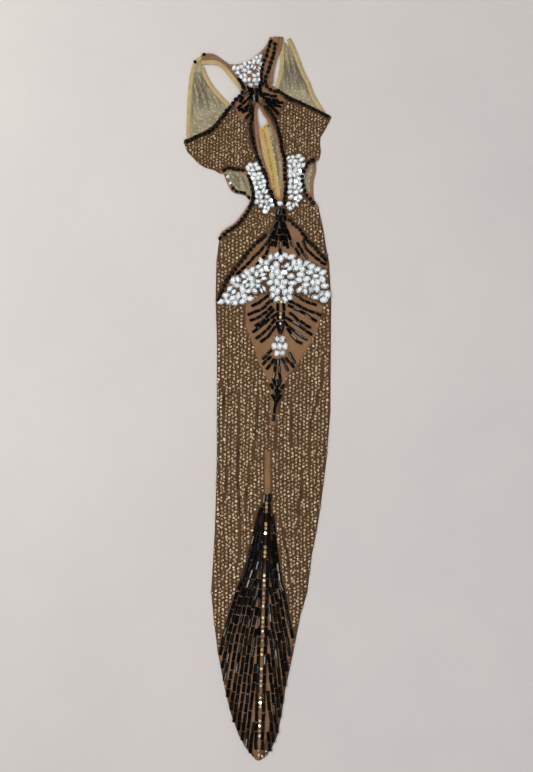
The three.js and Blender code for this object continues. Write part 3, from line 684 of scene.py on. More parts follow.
@dataclass
class Swarm:
    """Many copies of a few small shapes, joined in one mesh."""

    name: str
    smooth: bool = False
    points: list[np.ndarray] = field(default_factory=list)
    faces: list[tuple[int, ...]] = field(default_factory=list)
    tones: list[np.ndarray] = field(default_factory=list)
    glints: list[np.ndarray] = field(default_factory=list)
    count: int = 0

    def add(self, template: Template, places: np.ndarray, angles: np.ndarray, normals: np.ndarray,
            sizes: np.ndarray, tilt: float = 0.0, tones: np.ndarray | None = None) -> None:
        """Adds copies of a shape.

        Args:
            template: The shape.
            places: Where each copy's foot stands, in millimetres.
            angles: The direction of each copy's length in plan.
            normals: The direction that each one stands up in.
            sizes: Length, width and height of each.
            tilt: How far a copy leans at random, in radians.
            tones: The shade of each copy, from 0 to 1, or None for random ones.
        """
        n = len(places)
        if n == 0:
            return
        up = normals + DRAW.normal(0, 1, (n, 3)) * (tilt, tilt, 0)
        up /= np.linalg.norm(up, axis=1)[:, None]
        ahead = np.stack([np.cos(angles), np.sin(angles), np.zeros(n)], axis=1)
        ahead -= up * np.sum(ahead * up, axis=1)[:, None]
        ahead /= np.linalg.norm(ahead, axis=1)[:, None]
        aside = np.cross(up, ahead)
        local = template.points[None] * sizes[:, None, :]
        world = (places[:, None, :] + local[:, :, :1] * ahead[:, None]
                 + local[:, :, 1:2] * aside[:, None] + local[:, :, 2:] * up[:, None])
        size = len(template.points)
        for k in range(n):
            start = self.count + k * size
            self.faces.extend(tuple(start + v for v in face) for face in template.faces)
        self.points.append(world.reshape(-1, 3))
        shade = DRAW.random(n) if tones is None else tones
        self.tones.append(np.repeat(shade, size))
        # Each facet's painted glint: random, raised on tables and lowered on steep facets.
        table = np.tile(template.facet_light, n)
        glint = RANDOM_GLINT * DRAW.random(len(table)) + TABLE_GLINT * table
        self.glints.append(np.clip(glint, 0, 1))
        self.count += n * size

    def build(self, material: bpy.types.Material) -> bpy.types.Object:
        """Joins the copies and returns their object."""
        mesh = bpy.data.meshes.new(self.name)
        mesh.from_pydata(np.concatenate(self.points) * MM, [], self.faces)
        mesh.polygons.foreach_set("use_smooth", [self.smooth] * len(self.faces))
        set_layer(mesh, "tone", np.concatenate(self.tones))
        set_layer(mesh, "glint", np.concatenate(self.glints), "FACE")
        mesh.update()
        return add_object(self.name, mesh, material)


# ---- Finishes --------------------------------------------------------------------------------


def srgb(colour: Colour, strength: float = 1.0) -> tuple[float, float, float, float]:
    """Turns a screen colour, from 0 to 255, into the shader's linear one."""
    linear = [((strength * c / 255 + 0.055) / 1.055) ** 2.4 for c in colour]
    return (*linear, 1.0)


class Nodes:
    """A short way to add the nodes of a material or a node group and to join them."""

    def __init__(self, tree: bpy.types.NodeTree) -> None:
        """Starts on an empty tree."""
        self.tree = tree
        tree.nodes.clear()

    def add(self, kind: str, inputs: dict | None = None, **settings: object) -> bpy.types.Node:
        """Adds a node.

        Args:
            kind: The node's type.
            inputs: Values or output sockets for its input sockets, by name or number.
            **settings: Its own settings.

        Returns:
            The node.
        """
        node = self.tree.nodes.new(kind)
        for name, value in settings.items():
            setattr(node, name, value)
        for name, value in (inputs or {}).items():
            if isinstance(value, bpy.types.NodeSocket):
                self.tree.links.new(value, node.inputs[name])
            else:
                node.inputs[name].default_value = value
        return node

    def math(self, operation: str, a: object, b: object = 0.0) -> bpy.types.NodeSocket:
        """Adds a sum of two values and returns its result."""
        return self.add("ShaderNodeMath", {0: a, 1: b}, operation=operation).outputs[0]

    def mix(self, share: object, a: object, b: object) -> bpy.types.NodeSocket:
        """Adds a mix of two colours and returns its result."""
        return self.add("ShaderNodeMix", {0: share, 6: a, 7: b}, data_type="RGBA").outputs[2]

    def smooth(self, value: object, low: float, high: float) -> bpy.types.NodeSocket:
        """Adds a soft step from 0 at low to 1 at high and returns it."""
        return self.add("ShaderNodeMapRange", {0: value, 1: low, 2: high, 3: 0.0, 4: 1.0},
                        interpolation_type="SMOOTHSTEP").outputs[0]

    def layer(self, name: str) -> bpy.types.NodeSocket:
        """Reads one of the mesh's own values."""
        return self.add("ShaderNodeAttribute", attribute_name=name).outputs["Fac"]

    def place(self) -> bpy.types.NodeSocket:
        """Returns the object coordinates."""
        return self.add("ShaderNodeTexCoord").outputs["Object"]

    def effect(self, effect: "Effect", inputs: dict) -> bpy.types.Node:
        """Places a shared effect."""
        return self.add("ShaderNodeGroup", inputs, node_tree=effect.group())

    def bump(self, height: bpy.types.NodeSocket, depth: float) -> bpy.types.NodeSocket:
        """Turns a height into a normal, with its depth in metres."""
        return self.add("ShaderNodeBump",
                        {"Strength": 1.0, "Distance": depth, "Height": height}).outputs[0]

    def principled(self, inputs: dict) -> bpy.types.Node:
        """Adds the shader of a finish."""
        return self.add("ShaderNodeBsdfPrincipled", inputs)


class Effect(Enum):
    """The shader effects that several finishes share."""

    NET = "net_weave"
    RIBS = "elastic_ribs"
    MOTTLE = "mottle"
    FACETS = "stone_facets"

    def group(self) -> bpy.types.NodeTree:
        """Returns the node group of the effect, which is made once."""
        made = bpy.data.node_groups.get(self.value)
        return made or EFFECT_MAKERS[self](bpy.data.node_groups.new(self.value, "ShaderNodeTree"))


VALUE, COLOUR = "NodeSocketFloat", "NodeSocketColor"


def group_sockets(tree: bpy.types.NodeTree, inputs: dict,
                  outputs: dict) -> tuple[Nodes, bpy.types.Node]:
    """Gives a group its sockets.

    Args:
        tree: The group.
        inputs: The input sockets, as name to (type, default value).
        outputs: The output sockets, as name to type.

    Returns:
        The group's nodes and its input node.
    """
    nodes = Nodes(tree)
    for name, (kind, value) in inputs.items():
        socket = tree.interface.new_socket(name=name, in_out="INPUT", socket_type=kind)
        socket.default_value = value
    for name, kind in outputs.items():
        tree.interface.new_socket(name=name, in_out="OUTPUT", socket_type=kind)
    return nodes, nodes.add("NodeGroupInput")


def make_net(tree: bpy.types.NodeTree) -> bpy.types.NodeTree:
    """Makes a fine knitted net: two crossing sets of threads."""
    nodes, given = group_sockets(tree, {"Threads": (VALUE, 700.0)}, {"Height": VALUE})
    warp = nodes.add("ShaderNodeTexNoise", {"Vector": nodes.place(), "Scale": 60.0, "Detail": 2.0})
    bent = nodes.add("ShaderNodeMixRGB", {0: 0.004, 1: nodes.place(), 2: warp.outputs["Color"]})
    waves = [nodes.add("ShaderNodeTexWave", {"Vector": bent.outputs[0], "Scale": given.outputs[0]},
                       wave_type="BANDS", bands_direction=way).outputs["Fac"] for way in ("X", "Y")]
    nodes.add("NodeGroupOutput", {0: nodes.math("MAXIMUM", waves[0], waves[1])})
    return tree


def make_ribs(tree: bpy.types.NodeTree) -> bpy.types.NodeTree:
    """Makes the ribs of an elastic, across its length, with a stitched line beside each edge."""
    nodes, given = group_sockets(tree, {"Rib": (VALUE, 1.1), "Width": (VALUE, 10.0)},
                                 {"Height": VALUE, "Stitch": VALUE})
    along, across = nodes.layer("along"), nodes.layer("across")
    turns = nodes.math("MULTIPLY", nodes.math("DIVIDE", along, given.outputs["Rib"]), 2 * math.pi)
    rib = nodes.math("MULTIPLY_ADD", nodes.math("SINE", turns), 0.5)
    share = nodes.math("DIVIDE", nodes.math("ABSOLUTE", across), given.outputs["Width"])
    row = nodes.math("SUBTRACT", 1.0, nodes.smooth(
        nodes.math("ABSOLUTE", nodes.math("SUBTRACT", share, 0.78)), 0.02, 0.06))
    dash = nodes.math("GREATER_THAN", nodes.math("SINE", nodes.math("MULTIPLY", along, 2.1)), -0.35)
    stitch = nodes.math("MULTIPLY", row, dash)
    height = nodes.math("ADD", nodes.math("MULTIPLY", rib, 0.5),
                        nodes.math("MULTIPLY", stitch, 0.8))
    nodes.add("NodeGroupOutput", {0: height, 1: stitch})
    return tree


def make_mottle(tree: bpy.types.NodeTree) -> bpy.types.NodeTree:
    """Makes an uneven mix of two colours, coarse and fine."""
    nodes, given = group_sockets(
        tree, {"First": (COLOUR, (0.2, 0.2, 0.2, 1)), "Second": (COLOUR, (0.4, 0.4, 0.4, 1)),
               "Scale": (VALUE, 30.0)}, {"Color": COLOUR})
    coarse = nodes.add("ShaderNodeTexNoise", {
        "Vector": nodes.place(), "Scale": given.outputs["Scale"], "Detail": 5.0, "Roughness": 0.65})
    share = nodes.smooth(coarse.outputs["Fac"], 0.36, 0.64)
    nodes.add("NodeGroupOutput", {0: nodes.mix(share, given.outputs[0], given.outputs[1])})
    return tree


def make_facets(tree: bpy.types.NodeTree) -> bpy.types.NodeTree:
    """Shades a stone from dark to bright by its own random tone and by each facet's painted glint: a
    painted highlight on tables, painted shade on steep facets.
    """
    nodes, given = group_sockets(
        tree, {"Dark": (COLOUR, (0.05, 0.05, 0.05, 1)), "Body": (COLOUR, (0.3, 0.3, 0.3, 1)),
               "Bright": (COLOUR, (0.9, 0.9, 0.9, 1)), "Facet": (VALUE, 0.4)}, {"Color": COLOUR})
    facet = given.outputs["Facet"]
    rest = nodes.math("SUBTRACT", 1.0, facet)
    mixed = nodes.math("ADD", nodes.math("MULTIPLY", nodes.layer("glint"), facet),
                       nodes.math("MULTIPLY", nodes.layer("tone"), rest))
    lower = nodes.mix(nodes.smooth(mixed, 0.2, 0.58), given.outputs["Dark"], given.outputs["Body"])
    shown = nodes.mix(nodes.smooth(mixed, 0.64, 0.86), lower, given.outputs["Bright"])
    nodes.add("NodeGroupOutput", {0: shown})
    return tree


EFFECT_MAKERS = {Effect.NET: make_net, Effect.RIBS: make_ribs, Effect.MOTTLE: make_mottle,
                 Effect.FACETS: make_facets}


@dataclass(frozen=True)
class Finish:
    """What every finish has: a name, and a material that is made once."""

    name: str

    def material(self) -> bpy.types.Material:
        """Returns the material of the finish."""
        name = f"look_{self.name}"
        made = bpy.data.materials.get(name)
        if made is None:
            made = bpy.data.materials.new(name)
            made.use_nodes = True
            nodes = Nodes(made.node_tree)
            shader = self.shade(nodes)
            nodes.add("ShaderNodeOutputMaterial", {"Surface": shader.outputs[0]})
        return made

    def shade(self, nodes: Nodes) -> bpy.types.Node:
        """Adds the nodes of the finish and returns its shader."""
        raise NotImplementedError


@dataclass(frozen=True)
class MottledFinish(Finish):
    """A finish whose colour is an uneven mix of two."""

    first: Colour
    second: Colour

    def mottled(self, nodes: Nodes, scale: float) -> bpy.types.NodeSocket:
        """Returns the mix of the two colours."""
        return nodes.effect(Effect.MOTTLE, {"First": srgb(self.first), "Second": srgb(self.second),
                                            "Scale": scale}).outputs[0]


@dataclass(frozen=True)
class NetFinish(MottledFinish):
    """Stretch net, with painted shade in its creases, under the crystals, between the tail's rays and
    between its threads.
    """

    # The colour of the painted shade.
    shade_colour: Colour
    threads: float = 650.0
    roughness: float = 0.75

    def shade(self, nodes: Nodes) -> bpy.types.Node:
        """Adds the nodes of the finish and returns its shader."""
        base = self.mottled(nodes, 28.0)
        colour = nodes.mix(nodes.layer("shade"), base, srgb(self.shade_colour))
        net = nodes.effect(Effect.NET, {"Threads": self.threads}).outputs[0]
        # Painted shade between the net's threads.
        colour_with_thread_shade = nodes.mix(nodes.math("MULTIPLY", nodes.math("SUBTRACT", 1.0, net), 0.35), colour,
                           srgb(self.shade_colour, 0.55))
        return nodes.principled({
            "Base Color": colour_with_thread_shade, "Roughness": self.roughness, "Sheen Weight": 0.05,
            "Sheen Roughness": 0.4, "Specular IOR Level": 0.04,
            "Normal": nodes.bump(net, 0.00025)})


@dataclass(frozen=True)
class InsideFinish(MottledFinish):
    """The plain inside of the net, speckled by the stones on its other side, with painted shade beside
    its gathers and along its streaks.
    """

    # The colour of the painted shade.
    shade_colour: Colour
    speckle: float = 150.0

    def shade(self, nodes: Nodes) -> bpy.types.Node:
        """Adds the nodes of the finish and returns its shader."""
        base = self.mottled(nodes, 24.0)
        dots = nodes.add("ShaderNodeTexVoronoi", {"Vector": nodes.place(), "Scale": self.speckle})
        spot = nodes.math("SUBTRACT", 1.0, nodes.smooth(dots.outputs["Distance"], 0.15, 0.5))
        speckled = nodes.mix(nodes.math("MULTIPLY", spot, 0.6), base, srgb(self.first, 1.3))
        colour = nodes.mix(nodes.layer("shade"), speckled, srgb(self.shade_colour))
        net = nodes.effect(Effect.NET, {"Threads": 620.0}).outputs[0]
        height = nodes.math("ADD", nodes.math("MULTIPLY", net, 0.4), spot)
        return nodes.principled({
            "Base Color": colour, "Roughness": 0.8, "Sheen Weight": 0.2, "Specular IOR Level": 0.2,
            "Normal": nodes.bump(height, 0.0004)})


@dataclass(frozen=True)
class StoneFinish(Finish):
    """Cut glass on a foil back, coloured by each stone's tone and each facet's painted glint."""

    # Dark and bright are painted shade and painted highlight on the facets, and also the ends of each
    # stone's random tone.
    dark: Colour
    body: Colour
    bright: Colour
    facet: float = 0.45
    metallic: float = 0.6
    roughness: float = 0.16
    coat: float = 0.6
    specular: float = 0.5

    def shade(self, nodes: Nodes) -> bpy.types.Node:
        """Adds the nodes of the finish and returns its shader."""
        colour = nodes.effect(Effect.FACETS, {
            "Dark": srgb(self.dark), "Body": srgb(self.body), "Bright": srgb(self.bright),
            "Facet": self.facet}).outputs[0]
        return nodes.principled({
            "Base Color": colour, "Metallic": self.metallic, "Roughness": self.roughness,
            "Specular IOR Level": self.specular, "Coat Weight": self.coat, "Coat Roughness": 0.05})


@dataclass(frozen=True)
class JetFinish(Finish):
    """Black glass, with faint streaks of its making."""

    low: Colour = (0, 0, 0)
    high: Colour = (5, 4, 3)

    def shade(self, nodes: Nodes) -> bpy.types.Node:
        """Adds the nodes of the finish and returns its shader."""
        streak = nodes.add("ShaderNodeTexNoise",
                           {"Vector": nodes.place(), "Scale": 900.0, "Detail": 3.0})
        both = nodes.math("ADD", nodes.layer("tone"), streak.outputs["Fac"])
        share = nodes.math("MULTIPLY", both, 0.5)
        colour = nodes.mix(share, srgb(self.low), srgb(self.high))
        return nodes.principled({
            "Base Color": colour, "Roughness": 0.11, "IOR": 1.45, "Specular IOR Level": 0.08,
            "Normal": nodes.bump(streak.outputs["Fac"], 0.00003)})


@dataclass(frozen=True)
class ElasticFinish(MottledFinish):
    """Soft ribbed elastic with a stitched line beside its edge."""

    thread: Colour
    width: float
    rib: float = 1.1

    def shade(self, nodes: Nodes) -> bpy.types.Node:
        """Adds the nodes of the finish and returns its shader."""
        base = self.mottled(nodes, 45.0)
        ribs = nodes.effect(Effect.RIBS, {"Rib": self.rib, "Width": self.width})
        sewn = nodes.math("MULTIPLY", ribs.outputs["Stitch"], 0.8)
        colour = nodes.mix(sewn, base, srgb(self.thread))
        return nodes.principled({
            "Base Color": colour, "Roughness": 0.75, "Sheen Weight": 0.1, "Sheen Roughness": 0.35,
            "Normal": nodes.bump(ribs.outputs["Height"], 0.00025)})


@dataclass(frozen=True)
class TapeFinish(MottledFinish):
    """Woven zip tape with a herringbone of fine threads."""

    def shade(self, nodes: Nodes) -> bpy.types.Node:
        """Adds the nodes of the finish and returns its shader."""
        base = self.mottled(nodes, 40.0)
        along, across = nodes.layer("along"), nodes.layer("across")
        slant = nodes.math("ADD", along, nodes.math("PINGPONG", across, 2.0))
        twill = nodes.math("SINE", nodes.math("MULTIPLY", slant, 7.0))
        shade = nodes.mix(nodes.smooth(twill, -0.9, 0.2), srgb(self.first, 0.8), base)
        return nodes.principled({
            "Base Color": shade, "Roughness": 0.6, "Sheen Weight": 0.3,
            "Normal": nodes.bump(twill, 0.0001)})


@dataclass(frozen=True)
class BrassFinish(MottledFinish):
    """Satin brass, a little tarnished."""

    def shade(self, nodes: Nodes) -> bpy.types.Node:
        """Adds the nodes of the finish and returns its shader."""
        colour = self.mottled(nodes, 260.0)
        grain = nodes.add("ShaderNodeTexNoise", {"Vector": nodes.place(), "Scale": 2400.0})
        return nodes.principled({
            "Base Color": colour, "Metallic": 0.95, "Roughness": 0.34,
            "Normal": nodes.bump(grain.outputs["Fac"], 0.00002)})


@dataclass(frozen=True)
class SurfaceFinish(MottledFinish):
    """The pale matt surface that the gown lies on."""

    def shade(self, nodes: Nodes) -> bpy.types.Node:
        """Adds the nodes of the finish and returns its shader."""
        return nodes.principled({"Base Color": self.mottled(nodes, 1.6), "Roughness": 0.9,
                                 "Specular IOR Level": 0.15})


NET = NetFinish("tan_net", (167, 125, 90), (153, 113, 80), (48, 32, 15))
INSIDE = InsideFinish("net_inside", (168, 157, 126), (142, 131, 104), (84, 70, 54))
GOLD = StoneFinish("gold_crystal", (36, 25, 10), (120, 90, 56), (210, 186, 152), facet=0.78,
                   metallic=0.1, roughness=0.4, coat=0.05, specular=0.12)
AMBER = StoneFinish("amber_crystal", (118, 90, 54), (196, 158, 104), (255, 240, 200), facet=0.7,
                    metallic=0.3, specular=0.3)
CLEAR = StoneFinish("clear_stone", (84, 94, 91), (250, 253, 252), (255, 255, 255), facet=0.72,
                    metallic=0.1, roughness=0.1, coat=1.0)
JET = JetFinish("black_glass")
YELLOW = ElasticFinish("yellow_elastic", (190, 166, 110), (174, 148, 94), (206, 184, 130),
                       ELASTIC_WIDTH)
TAN = ElasticFinish("tan_elastic", (146, 100, 64), (128, 86, 54), (164, 120, 82), BINDING_WIDTH)
TAPE = TapeFinish("zip_tape", (226, 188, 104), (210, 170, 84))
COIL = StoneFinish("zip_coil", (166, 128, 60), (222, 184, 104), (246, 220, 150), facet=0.2,
                   metallic=0.0, roughness=0.35, coat=0.2)
BRASS = BrassFinish("satin_brass", (206, 172, 98), (140, 108, 58))
PALE = SurfaceFinish("pale_surface", (219, 212, 206), (215, 208, 203))


# ---- Cloth -----------------------------------------------------------------------------------


def flat_area(*loops: np.ndarray) -> float:
    """Returns the area in square metres inside a loop, less that of the holes that follow it."""
    areas = [abs(np.sum(p[:, 0] * np.roll(p[:, 1], -1) - np.roll(p[:, 0], -1) * p[:, 1])) / 2
             for p in loops]
    return float(areas[0] - sum(areas[1:])) * MM * MM


def thicken(piece: bpy.types.Object, thickness: float) -> None:
    """Gives a sheet its thickness, upwards from the side that it was drawn on."""
    wall = piece.modifiers.new("cloth", "SOLIDIFY")
    wall.thickness = thickness * MM
    wall.offset = 1.0
    wall.use_rim = True


@dataclass
class FrontCloth:
    """The front: one cut of stretch net from the straps to the hem."""

    form: FrontForm
    pitch: float = 4.0
    quick_pitch: float = 14.0
    # Lines of the creases, where painted shade darkens the cloth and the crystals.
    shaded_creases: Sequence[Places] = (
        ((258, 392), (257, 412), (255, 435), (254, 458)),
        ((238, 394), (239, 420), (238, 452), (237.5, 480), (239.5, 500), (240, 541), (237, 566)),
        ((324, 352), (321.6, 381), (316.5, 401), (311.4, 419), (310, 445), (309, 474)),
        ((222, 380), (224, 400), (223, 418)), ((292, 405), (291, 445)), ((276, 420), (275, 448)),
        ((249, 466), (247, 490), (245, 512)), ((226, 470), (225, 498)),
        ((281, 520), (288, 560), (291, 590)), ((302, 470), (300, 500), (297, 530)),
    )
    crease_shade_width: float = 5.5
    # Painted shadow on the cloth under and between the small crystals.
    cover_shade: float = 0.66
    tail: Places = (
        (266, 499), (261.6, 503.5), (258.6, 515), (257, 533), (253.5, 534), (250.4, 551), (247, 565),
        (241, 582), (234, 602), (224, 636), (219, 655), (258, 765), (294, 638), (289, 623),
        (285, 599), (280.5, 582), (278.5, 567), (276, 551), (274, 533), (272, 511), (268, 500))
    # Painted shade on the cloth between the tail's rays, strongest at the tail's top and fading out
    # below it.
    tail_shade: float = 0.95
    tail_shade_rows: tuple[float, float] = (-470.0, -372.0)
    bare: Sequence[Places] = (
        ((245, 303), (245, 325), (249, 335), (254, 347), (257, 358), (261, 366.5), (265, 375),
         (269.5, 384), (271, 400), (270.5, 426), (275.5, 426), (278, 400), (287, 376), (294, 369),
         (300, 360), (306, 351), (315, 336), (320.6, 322), (322, 305), (296, 294), (279, 298),
         (262, 294)),
        ((265.5, 452), (265, 470), (265.4, 495), (268, 503), (270.5, 495), (271, 470), (270.5, 452)),
        ((267, 236), (255, 246), (245, 258), (234, 273), (226, 286), (232, 291), (252, 268),
         (270, 255), (292, 255), (312, 262), (327, 268), (326, 261), (310, 243), (299, 228),
         (288, 220), (277, 228)),
        ((250, 90), (234, 104), (240, 121), (251, 116), (254, 102), (264, 102), (280, 110),
         (286, 102), (278, 92), (262, 90)),
        ((196, 46), (238, 60), (262, 56), (272, 34), (292, 34), (276, 92), (262, 92), (248, 92),
         (240, 80), (230, 72), (214, 66), (196, 62)),
    )

    def loops(self) -> tuple[np.ndarray, np.ndarray]:
        """Returns the outline and the keyhole's edge."""
        return self.form.cut.front_outline(), self.form.cut.keyhole.offset(BOUND).points

    def area(self) -> float:
        """Returns the flat area in square metres."""
        return flat_area(*self.loops())

    def shade(self, places: np.ndarray) -> np.ndarray:
        """Returns the painted shade along the cloth's creases, from 0 to 1."""
        dark = np.zeros(len(places))
        for knots in self.shaded_creases:
            far, share = Line.smooth(layout(knots), 24).nearest(places)
            fall = np.clip(1 - far / self.crease_shade_width, 0, 1)
            dark = np.maximum(dark, fall * np.sin(np.pi * np.clip(share, 0.02, 0.98)) ** 0.5)
        return dark

    def is_bare(self, places: np.ndarray) -> np.ndarray:
        """Tells where no small crystals are sewn on."""
        return np.any([inside(places, layout(loop)) for loop in self.bare], axis=0)

    def build(self) -> bpy.types.Object:
        """Makes the cloth."""
        outline, keyhole = self.loops()
        pitch = self.pitch
        rows = np.arange(outline[:, 1].min() + pitch, outline[:, 1].max(), pitch)
        columns = np.arange(outline[:, 0].min() + pitch, outline[:, 0].max(), pitch)
        bm = gridded_panel((outline, keyhole), rows, columns)
        places = lift(bm, self.form.floor)
        mesh = mesh_from(bm, "front_cloth")
        tail = inside(places, layout(self.tail))
        # The shade layer holds painted shade: along the creases, under the crystals, and between the
        # tail's rays at its top.
        crystal_shadow = self.cover_shade * (~self.is_bare(places) & ~tail)
        tail_gap_shade = tail * np.interp(places[:, 1], self.tail_shade_rows, (0.0, self.tail_shade))
        set_layer(mesh, "shade", np.max((self.shade(places), crystal_shadow, tail_gap_shade), axis=0))
        cloth = add_object("front_cloth", mesh, NET.material())
        thicken(cloth, CLOTH)
        return hand_over(cloth, Slot.BEADED, "front")


@dataclass(frozen=True)
class BackFolds:
    """How the elastic draws up one half of the back: raised folds, and streaks of painted shade."""

    gathers: Sequence[Crease]
    streaks: Sequence[Places]


@dataclass
class BackCloth:
    """One half of the back, whose plain inside faces up."""

    cut: GownCut
    left: bool
    folds: BackFolds
    # Painted shade beside each gather and along each streak.
    gather_shade: float = 0.75
    gather_reach: float = 0.95
    streak_width: float = 2.6
    streak_shade: float = 0.9
    steps: tuple[float, float] = (3.0, 12.0)
    quick_steps: tuple[float, float] = (9.0, 24.0)
    fine_above: float = 366.0

    @property
    def side(self) -> str:
        """Returns the name of the side."""
        return "left" if self.left else "right"

    def area(self) -> float:
        """Returns the flat area in square metres."""
        return flat_area(self.cut.back_outline(self.left))

    def rise(self, places: np.ndarray) -> np.ndarray:
        """Returns how far the gathers stand above the flat cloth."""
        highest = np.zeros(len(places))
        for gather in self.folds.gathers:
            far, share = Line(np.array([gather.start, gather.end], float)).nearest(places)
            form = np.exp(-(far / (0.5 * gather.width)) ** 2)
            highest = np.maximum(highest, gather.height * form * np.sin(np.pi * share) ** 0.7)
        return highest

    def shade(self, places: np.ndarray) -> np.ndarray:
        """Returns the painted shade beside the cloth's gathers and along its streaks, from 0 to 1."""
        dark = np.zeros(len(places))
        for gather in self.folds.gathers:
            line = Line(np.array([gather.start, gather.end], float))
            for beside in (-self.gather_reach, self.gather_reach):
                far, share = line.offset(beside * gather.width).nearest(places)
                streak = np.exp(-(far / (0.4 * gather.width)) ** 2) * np.sin(np.pi * share) ** 0.6
                dark = np.maximum(dark, self.gather_shade * streak)
        for knots in self.folds.streaks:
            far, share = Line.smooth(layout(knots), 12).nearest(places)
            streak = np.exp(-(far / self.streak_width) ** 2) * np.sin(np.pi * share) ** 0.5
            dark = np.maximum(dark, self.streak_shade * streak)
        return dark

    def build(self) -> bpy.types.Object:
        """Makes the cloth."""
        outline = self.cut.back_outline(self.left)
        fine, coarse = self.steps
        low, high = outline.min(axis=0), outline.max(axis=0)
        rows = np.concatenate([np.arange(low[1] + coarse, self.fine_above, coarse),
                               np.arange(self.fine_above, high[1], fine)])
        bm = gridded_panel((outline,), rows, np.arange(low[0] + fine, high[0], fine))
        places = lift(bm, lambda spots: WALL - CLOTH + self.rise(spots))
        mesh = mesh_from(bm, f"back_cloth_{self.side}")
        set_layer(mesh, "shade", self.shade(places))
        cloth = add_object(f"back_cloth_{self.side}", mesh, INSIDE.material())
        thicken(cloth, CLOTH)
        return hand_over(cloth, Slot.INSIDE, f"back_{self.side}")


@dataclass(frozen=True)
class Binding:
    """A flat strip of elastic that is sewn to an edge."""

    node: str
    line: Line
    band_side: int
    width: float
    floor: Heights

    def build(self) -> bpy.types.Object:
        """Makes the strip, with rounded edges."""
        wide, soft, low, high = self.width, 0.6, 0.3, 1.7
        section = [(0, low), (0, high), (soft, WALL), (wide / 2, WALL), (wide - soft, WALL),
                   (wide, high), (wide, low), (wide - soft, 0), (wide / 2, 0), (soft, 0)]
        section = [(self.band_side * across, height) for across, height in section]
        finish, slot = (YELLOW, Slot.YELLOW) if wide == ELASTIC_WIDTH else (TAN, Slot.TAN)
        mesh = mesh_from(sweep(self.line, section, self.floor), f"{self.node}_elastic")
        return hand_over(add_object(mesh.name, mesh, finish.material()), slot, self.node)


# ---- Zip -------------------------------------------------------------------------------------


@dataclass
class Zip:
    """The zip: two tapes with their coils, which share the channel of the back."""

    cut: GownCut
    tape_width: float = 12.0
    tape_thickness: float = 0.7
    tooth_pitch: float = 1.6
    tooth_size: Size = (2.3, 1.0, 1.1)
    tooth_sink: float = 0.05
    first_tooth: float = 3.0
    stagger: float = 0.8
    last_tooth: float = 2.0
    gap: float = SEAM_GAP / 2

    def tape(self, line: Line, side: str, turn: int) -> bpy.types.Object:
        """Makes one tape."""
        section = [(turn * across, height) for across, height in (
            (self.gap, 0.0), (self.gap, self.tape_thickness),
            (self.tape_width, self.tape_thickness), (self.tape_width, 0.0))]
        mesh = mesh_from(sweep(line, section, level(FRONT_BED)), f"zip_tape_cloth_{side}",
                         smooth=False)
        return add_object(mesh.name, mesh, TAPE.material())

    def coil(self, line: Line, side: str, turn: int) -> bpy.types.Object:
        """Makes the closed coil of one tape."""
        coil = Swarm(f"zip_coil_{side}", smooth=True)
        start = self.first_tooth + (self.stagger if turn > 0 else 0.0)
        along = np.arange(start, line.lengths()[-1] - self.last_tooth, self.tooth_pitch)
        places, angles = line.at(along)
        aside = np.stack([-np.sin(angles), np.cos(angles)], axis=1)
        feet = places + aside * (turn * (self.gap + self.tooth_size[0] / 2))
        height = FRONT_BED + self.tape_thickness - self.tooth_sink
        coil.add(Template.bugle(6), standing(feet, height), angles + math.pi / 2,
                 np.tile(UP, (len(feet), 1)), np.tile(self.tooth_size, (len(feet), 1)))
        return coil.build(COIL.material())

    def build(self) -> list[bpy.types.Object]:
        """Makes the tapes and coils, and finishes the slider and its tab."""
        pieces = []
        line = self.cut.zip_line()
        for side, turn in (("left", -1), ("right", 1)):
            for make in (self.tape, self.coil):
                pieces.append(hand_over(make(line, side, turn), Slot.TAPE, f"zip_tape_{side}"))
        for node in ("zip_slider", "zip_pull_tab"):
            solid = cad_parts[node]
            if not solid.material_slots:
                solid.data.materials.append(BRASS.material())
            for place in solid.material_slots:
                place.link = "OBJECT"
                place.material = BRASS.material()
        return pieces


# ---- Stones and beads ------------------------------------------------------------------------


@dataclass(frozen=True)
class Stringing:
    """How beads are strung along a line, in millimetres and radians."""

    pitch: float
    size: Size
    gap: float = 0.0
    wander: float = 0.0
    tilt: float = 0.06


@dataclass(frozen=True)
class StoneField:
    """Cut stones at stated places, with more of them wherever a region has room."""

    places: Places
    regions: Sequence[Places]
    spacing: float
    size: Size


@dataclass(frozen=True)
class Drop:
    """One bead or stone of the drop below the hip's stones."""

    place: tuple[float, float]
    size: Size
    black: bool


